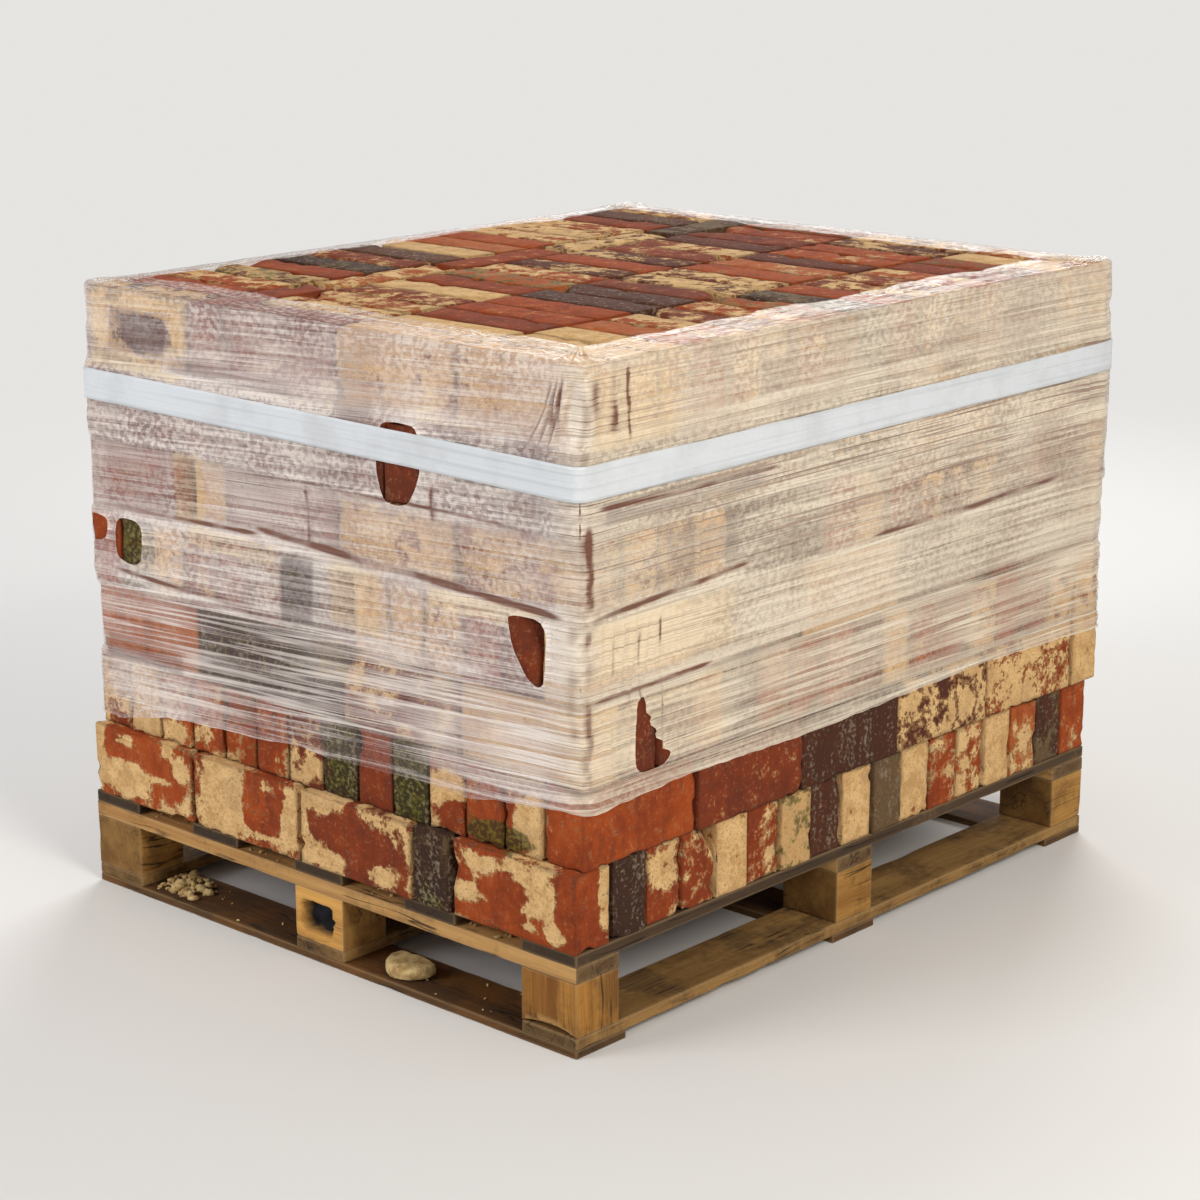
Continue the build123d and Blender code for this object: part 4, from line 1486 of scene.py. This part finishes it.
def milky_film():
    """Many turns of clear film, milky where it is thick or roped, clearer where it clings."""
    finish, bench = new_finish("milky_film")
    lay = bench.add("ShaderNodeUVMap", {"uv_map": "wrap"})
    touch, rope, stain = bench.mark("touch"), bench.mark("rope"), bench.mark("stain")
    veil, tint = bench.mark("veil"), bench.mark("tint")
    strands = bench.streaks(lay, 1.8, 105.0)
    threads = bench.streaks(lay, 3.0, 270.0)
    hairs = bench.streaks(lay, 4.0, 640.0, 0.0)
    clouds = bench.streaks(lay, 9.0, 9.0, 2.0)
    crinkles = bench.streaks(lay, 100.0, 120.0, 2.0)
    cords = bench.fade(1.0 - abs(strands - 0.5) * 9.0, 0.1, 0.9)
    fine_cords = bench.fade(1.0 - abs(threads - 0.5) * 8.0, 0.1, 0.9)
    crinkled = (bench.fade(crinkles, 0.38, 0.62) - 0.5) * (1.15 - rope) * (touch * 0.6 + 0.4)
    cover = 0.43 + veil + (strands - 0.5) * (0.3 + rope * 0.5) + cords * (0.06 + rope * 0.30)
    cover = cover + (threads - 0.5) * 0.35 + fine_cords * rope * 0.16 + crinkled * 0.22
    cover = cover + (clouds - 0.5) * 0.30 + (hairs - 0.5) * 0.25
    thick = cords * rope * 0.5 + crinkled * 0.6 + (clouds - 0.5) * 0.8 + 0.45 + veil * 0.4
    colour = bench.mix(bench.fade(thick, 0.1, 0.9), paint(0.77, 0.70, 0.685), paint(0.93, 0.885, 0.85))
    # Painted sunlight: warm cream on the film of the right side.
    colour = bench.mix(bench.mark("sunward") * 0.60, colour, paint(0.91, 0.85, 0.725))
    patchy = (crinkles - 0.5) * 1.2 + (clouds - 0.5) * 0.8
    colour = bench.mix(bench.fade(tint + patchy, 0.15, 0.75) * 0.55, colour, paint(0.94, 0.84, 0.68))
    colour = bench.mix(bench.fade(patchy - tint, 0.20, 0.90) * 0.60, colour, paint(0.50, 0.45, 0.455))
    # Dark lines: the film parted over the bricks and worn at the corner, and painted shade in its creases
    # and pleats.
    creases = bench.fade(threads, 0.56, 0.68) * bench.mark("creased")
    parted_and_shaded = (stain * (0.85 + (clouds - 0.5) * 2.6) + creases).at_least(0.0).at_most(1.0)
    colour = bench.mix(parted_and_shaded * 0.95, colour, paint(0.40, 0.18, 0.045))
    cover = cover + parted_and_shaded * 0.6
    surface(
        bench,
        Base_Color=colour,
        Roughness=bench.fade(strands, 0.3, 0.8) * 0.18 + 0.22,
        Alpha=cover.at_least(0.10).at_most(0.97),
        Normal=bench.bump(strands * 0.8 + cords * 0.5 + threads * 0.5 + crinkles * 0.5, 0.0016),
    )
    return finish


def lay_out(piece, lengthwise, upward, faces):
    """Maps a wrap flat, in metres along it and up. Faces that close it lie one turn further on."""
    corner_points = np.empty(len(piece.data.loops), np.int32)
    piece.data.loops.foreach_get("vertex_index", corner_points)
    flat = np.c_[lengthwise, upward][corner_points]
    closing = [max(corner % columns for corner in face) == columns - 1 for face in faces]
    closing = np.repeat(closing, [len(face) for face in faces])
    flat[closing & (corner_points % columns == 0), 0] += round_the_load
    piece.data.uv_layers.new(name="wrap").data.foreach_set("uv", flat.astype(np.float32).ravel())


film_piece = new_piece("film_wrap", film_points, film_faces, milky_film(), "stretch_film", ("stretch_film",))
film_marks = {
    "touch": with_lap(touch, 1.0), "veil": with_lap(veil, -0.13), "rope": with_lap(roped, 0.2),
    "stain": with_lap(np.clip(stain, 0.0, 1.0), 0.0), "sunward": np.tile(sunward, film_rows),
    "tint": with_lap(tint, 0.0), "creased": with_lap(creased, 0.0),
}
for name, values in film_marks.items():
    store(film_piece.data, name, values)
lap_row_step = 0.007
lap_climb = np.repeat(np.arange(1, lap_rows + 1) * lap_row_step, columns) + film_top
film_heights = np.concatenate([sloped.reshape(-1), lap_climb])
lay_out(film_piece, np.tile(front_run, film_rows), film_heights, film_faces)
cleaned = bmesh.new()
cleaned.from_mesh(film_piece.data)
loose = [vertex for vertex in cleaned.verts if not vertex.link_faces]
bmesh.ops.delete(cleaned, geom=loose, context="VERTS")
cleaned.to_mesh(film_piece.data)
cleaned.free()
# Clear film throws next to no shadow on the bricks under it.
film_piece.visible_shadow = False


# Tape band. A strip of plain white tape, drawn tight round the load over the film a little
# below its top course, where it has pressed the film in.
band_rows = 10
band_thickness = 0.0004
band_waver = 0.0007
band_ripple = 0.0006
band_edge_lift = 0.0005
band_lift = 0.0004
band_lines = []
for row in range(band_rows):
    share = row / (band_rows - 1)
    waver = band_waver * rough_on(outline, share * 0.01, 17.0, 41)
    level = band_foot + (band_head - band_foot) * share + waver
    ripple = band_ripple * rough(np.c_[outline, level * 3.0], 40.0, 42)
    edge = band_edge_lift * (2 * share - 1) ** 4
    place = feet + ways * (band_depth + band_lift + np.clip(ripple, 0, None) + edge)[:, None]
    band_lines.append(np.c_[place, level])


def white_tape():
    """White plastic tape, lightly creased."""
    finish, bench = new_finish("white_tape")
    lay = bench.add("ShaderNodeUVMap", {"uv_map": "wrap"})
    creases = bench.streaks(lay, 26.0, 9.0, 3.0)
    pulls = bench.streaks(lay, 2.0, 170.0)
    grime = bench.mottle(bench.place(), 14.0, 4.0, 0.6)
    soiled = bench.fade(grime, 0.42, 0.75)
    colour = bench.mix(soiled * 0.5, paint(0.845, 0.86, 0.875), paint(0.74, 0.745, 0.75))
    colour = bench.mix(bench.fade(pulls, 0.55, 0.72) * 0.25, colour, paint(0.66, 0.68, 0.70))
    surface(
        bench,
        Base_Color=colour,
        Roughness=bench.fade(grime, 0.3, 0.8) * 0.2 + 0.34,
        Normal=bench.bump(creases * 1.2 + pulls * 0.5, 0.0016),
    )
    return finish


band_points = np.concatenate(band_lines)
band_quads = ring_quads(band_rows)
band_piece = new_piece("white_band", band_points, band_quads, white_tape(), "tape_band", ("tape_band",))
lay_out(band_piece, np.tile(front_run, band_rows), band_points[:, 2], band_quads)
thick = band_piece.modifiers.new("thickness", "SOLIDIFY")
thick.thickness = band_thickness
thick.offset = 1.0


# Ground and light. A plain pale floor and soft studio lamps, the stronger from the right. Far
# from the load the floor shows as the same pale tone as the background.
pale = paint(0.90, 0.895, 0.885)
stage_reach = 40.0
floor_corners = [(x * stage_reach, y * stage_reach, 0) for x, y in ((-1, -1), (1, -1), (1, 1), (-1, 1))]
floor_mesh = bpy.data.meshes.new("floor")
floor_mesh.from_pydata(floor_corners, [], [(0, 1, 2, 3)])
floor = put_up("floor", floor_mesh)


def seen_ray(bench):
    """1 for a ray that shows in the picture, 0 for one that only carries light."""
    straight, mirrored, through = (
        bench.add("ShaderNodeLightPath", None, None, f"Is {kind} Ray")
        for kind in ("Camera", "Glossy", "Transmission")
    )
    return (straight + mirrored + through).at_most(1.0)


floor_finish, bench = new_finish("pale_floor")
away = bench.add("ShaderNodeVectorMath", {"operation": "LENGTH"}, {0: bench.place()}, "Value")
matt = bench.add("ShaderNodeBsdfPrincipled", None, {"Base Color": pale, "Roughness": 0.9})
glow = bench.add("ShaderNodeEmission", None, {"Color": pale, "Strength": 1.0})
far_away = bench.fade(away, 1.2, 4.2) * seen_ray(bench)
shown = bench.add("ShaderNodeMixShader", None, {0: far_away, 1: matt, 2: glow})
bench.add("ShaderNodeOutputMaterial", None, {"Surface": shown})
floor_mesh.materials.append(floor_finish)

world = bpy.data.worlds.new("studio")
bpy.context.scene.world = world
world.use_nodes = True
world.node_tree.nodes.clear()
bench = Bench(world.node_tree)
sky_colour = paint(0.88, 0.88, 0.885)
light = bench.add("ShaderNodeBackground", None, {"Color": sky_colour, "Strength": 0.42})
backdrop = bench.add("ShaderNodeBackground", None, {"Color": pale, "Strength": 1.0})
either = bench.add("ShaderNodeMixShader", None, {0: seen_ray(bench), 1: light, 2: backdrop})
bench.add("ShaderNodeOutputWorld", None, {"Surface": either})
lit_point = Vector((0, 0, 0.45))


def lamp(name, place, size, power, colour):
    """A square soft lamp that faces the load."""
    light = bpy.data.lights.new(name, "AREA")
    light.size = size
    light.energy = power
    light.color = colour
    look_at(put_up(name, light), Vector(place), lit_point)


lamp("key_lamp", (4.2, -1.2, 3.2), 1.8, 150.0, (1.0, 0.965, 0.90))
lamp("fill_lamp", (-1.8, -4.8, 2.6), 2.6, 128.0, (0.97, 0.98, 1.0))
lamp("back_lamp", (-2.5, 4.0, 3.2), 3.0, 190.0, (1.0, 1.0, 1.0))
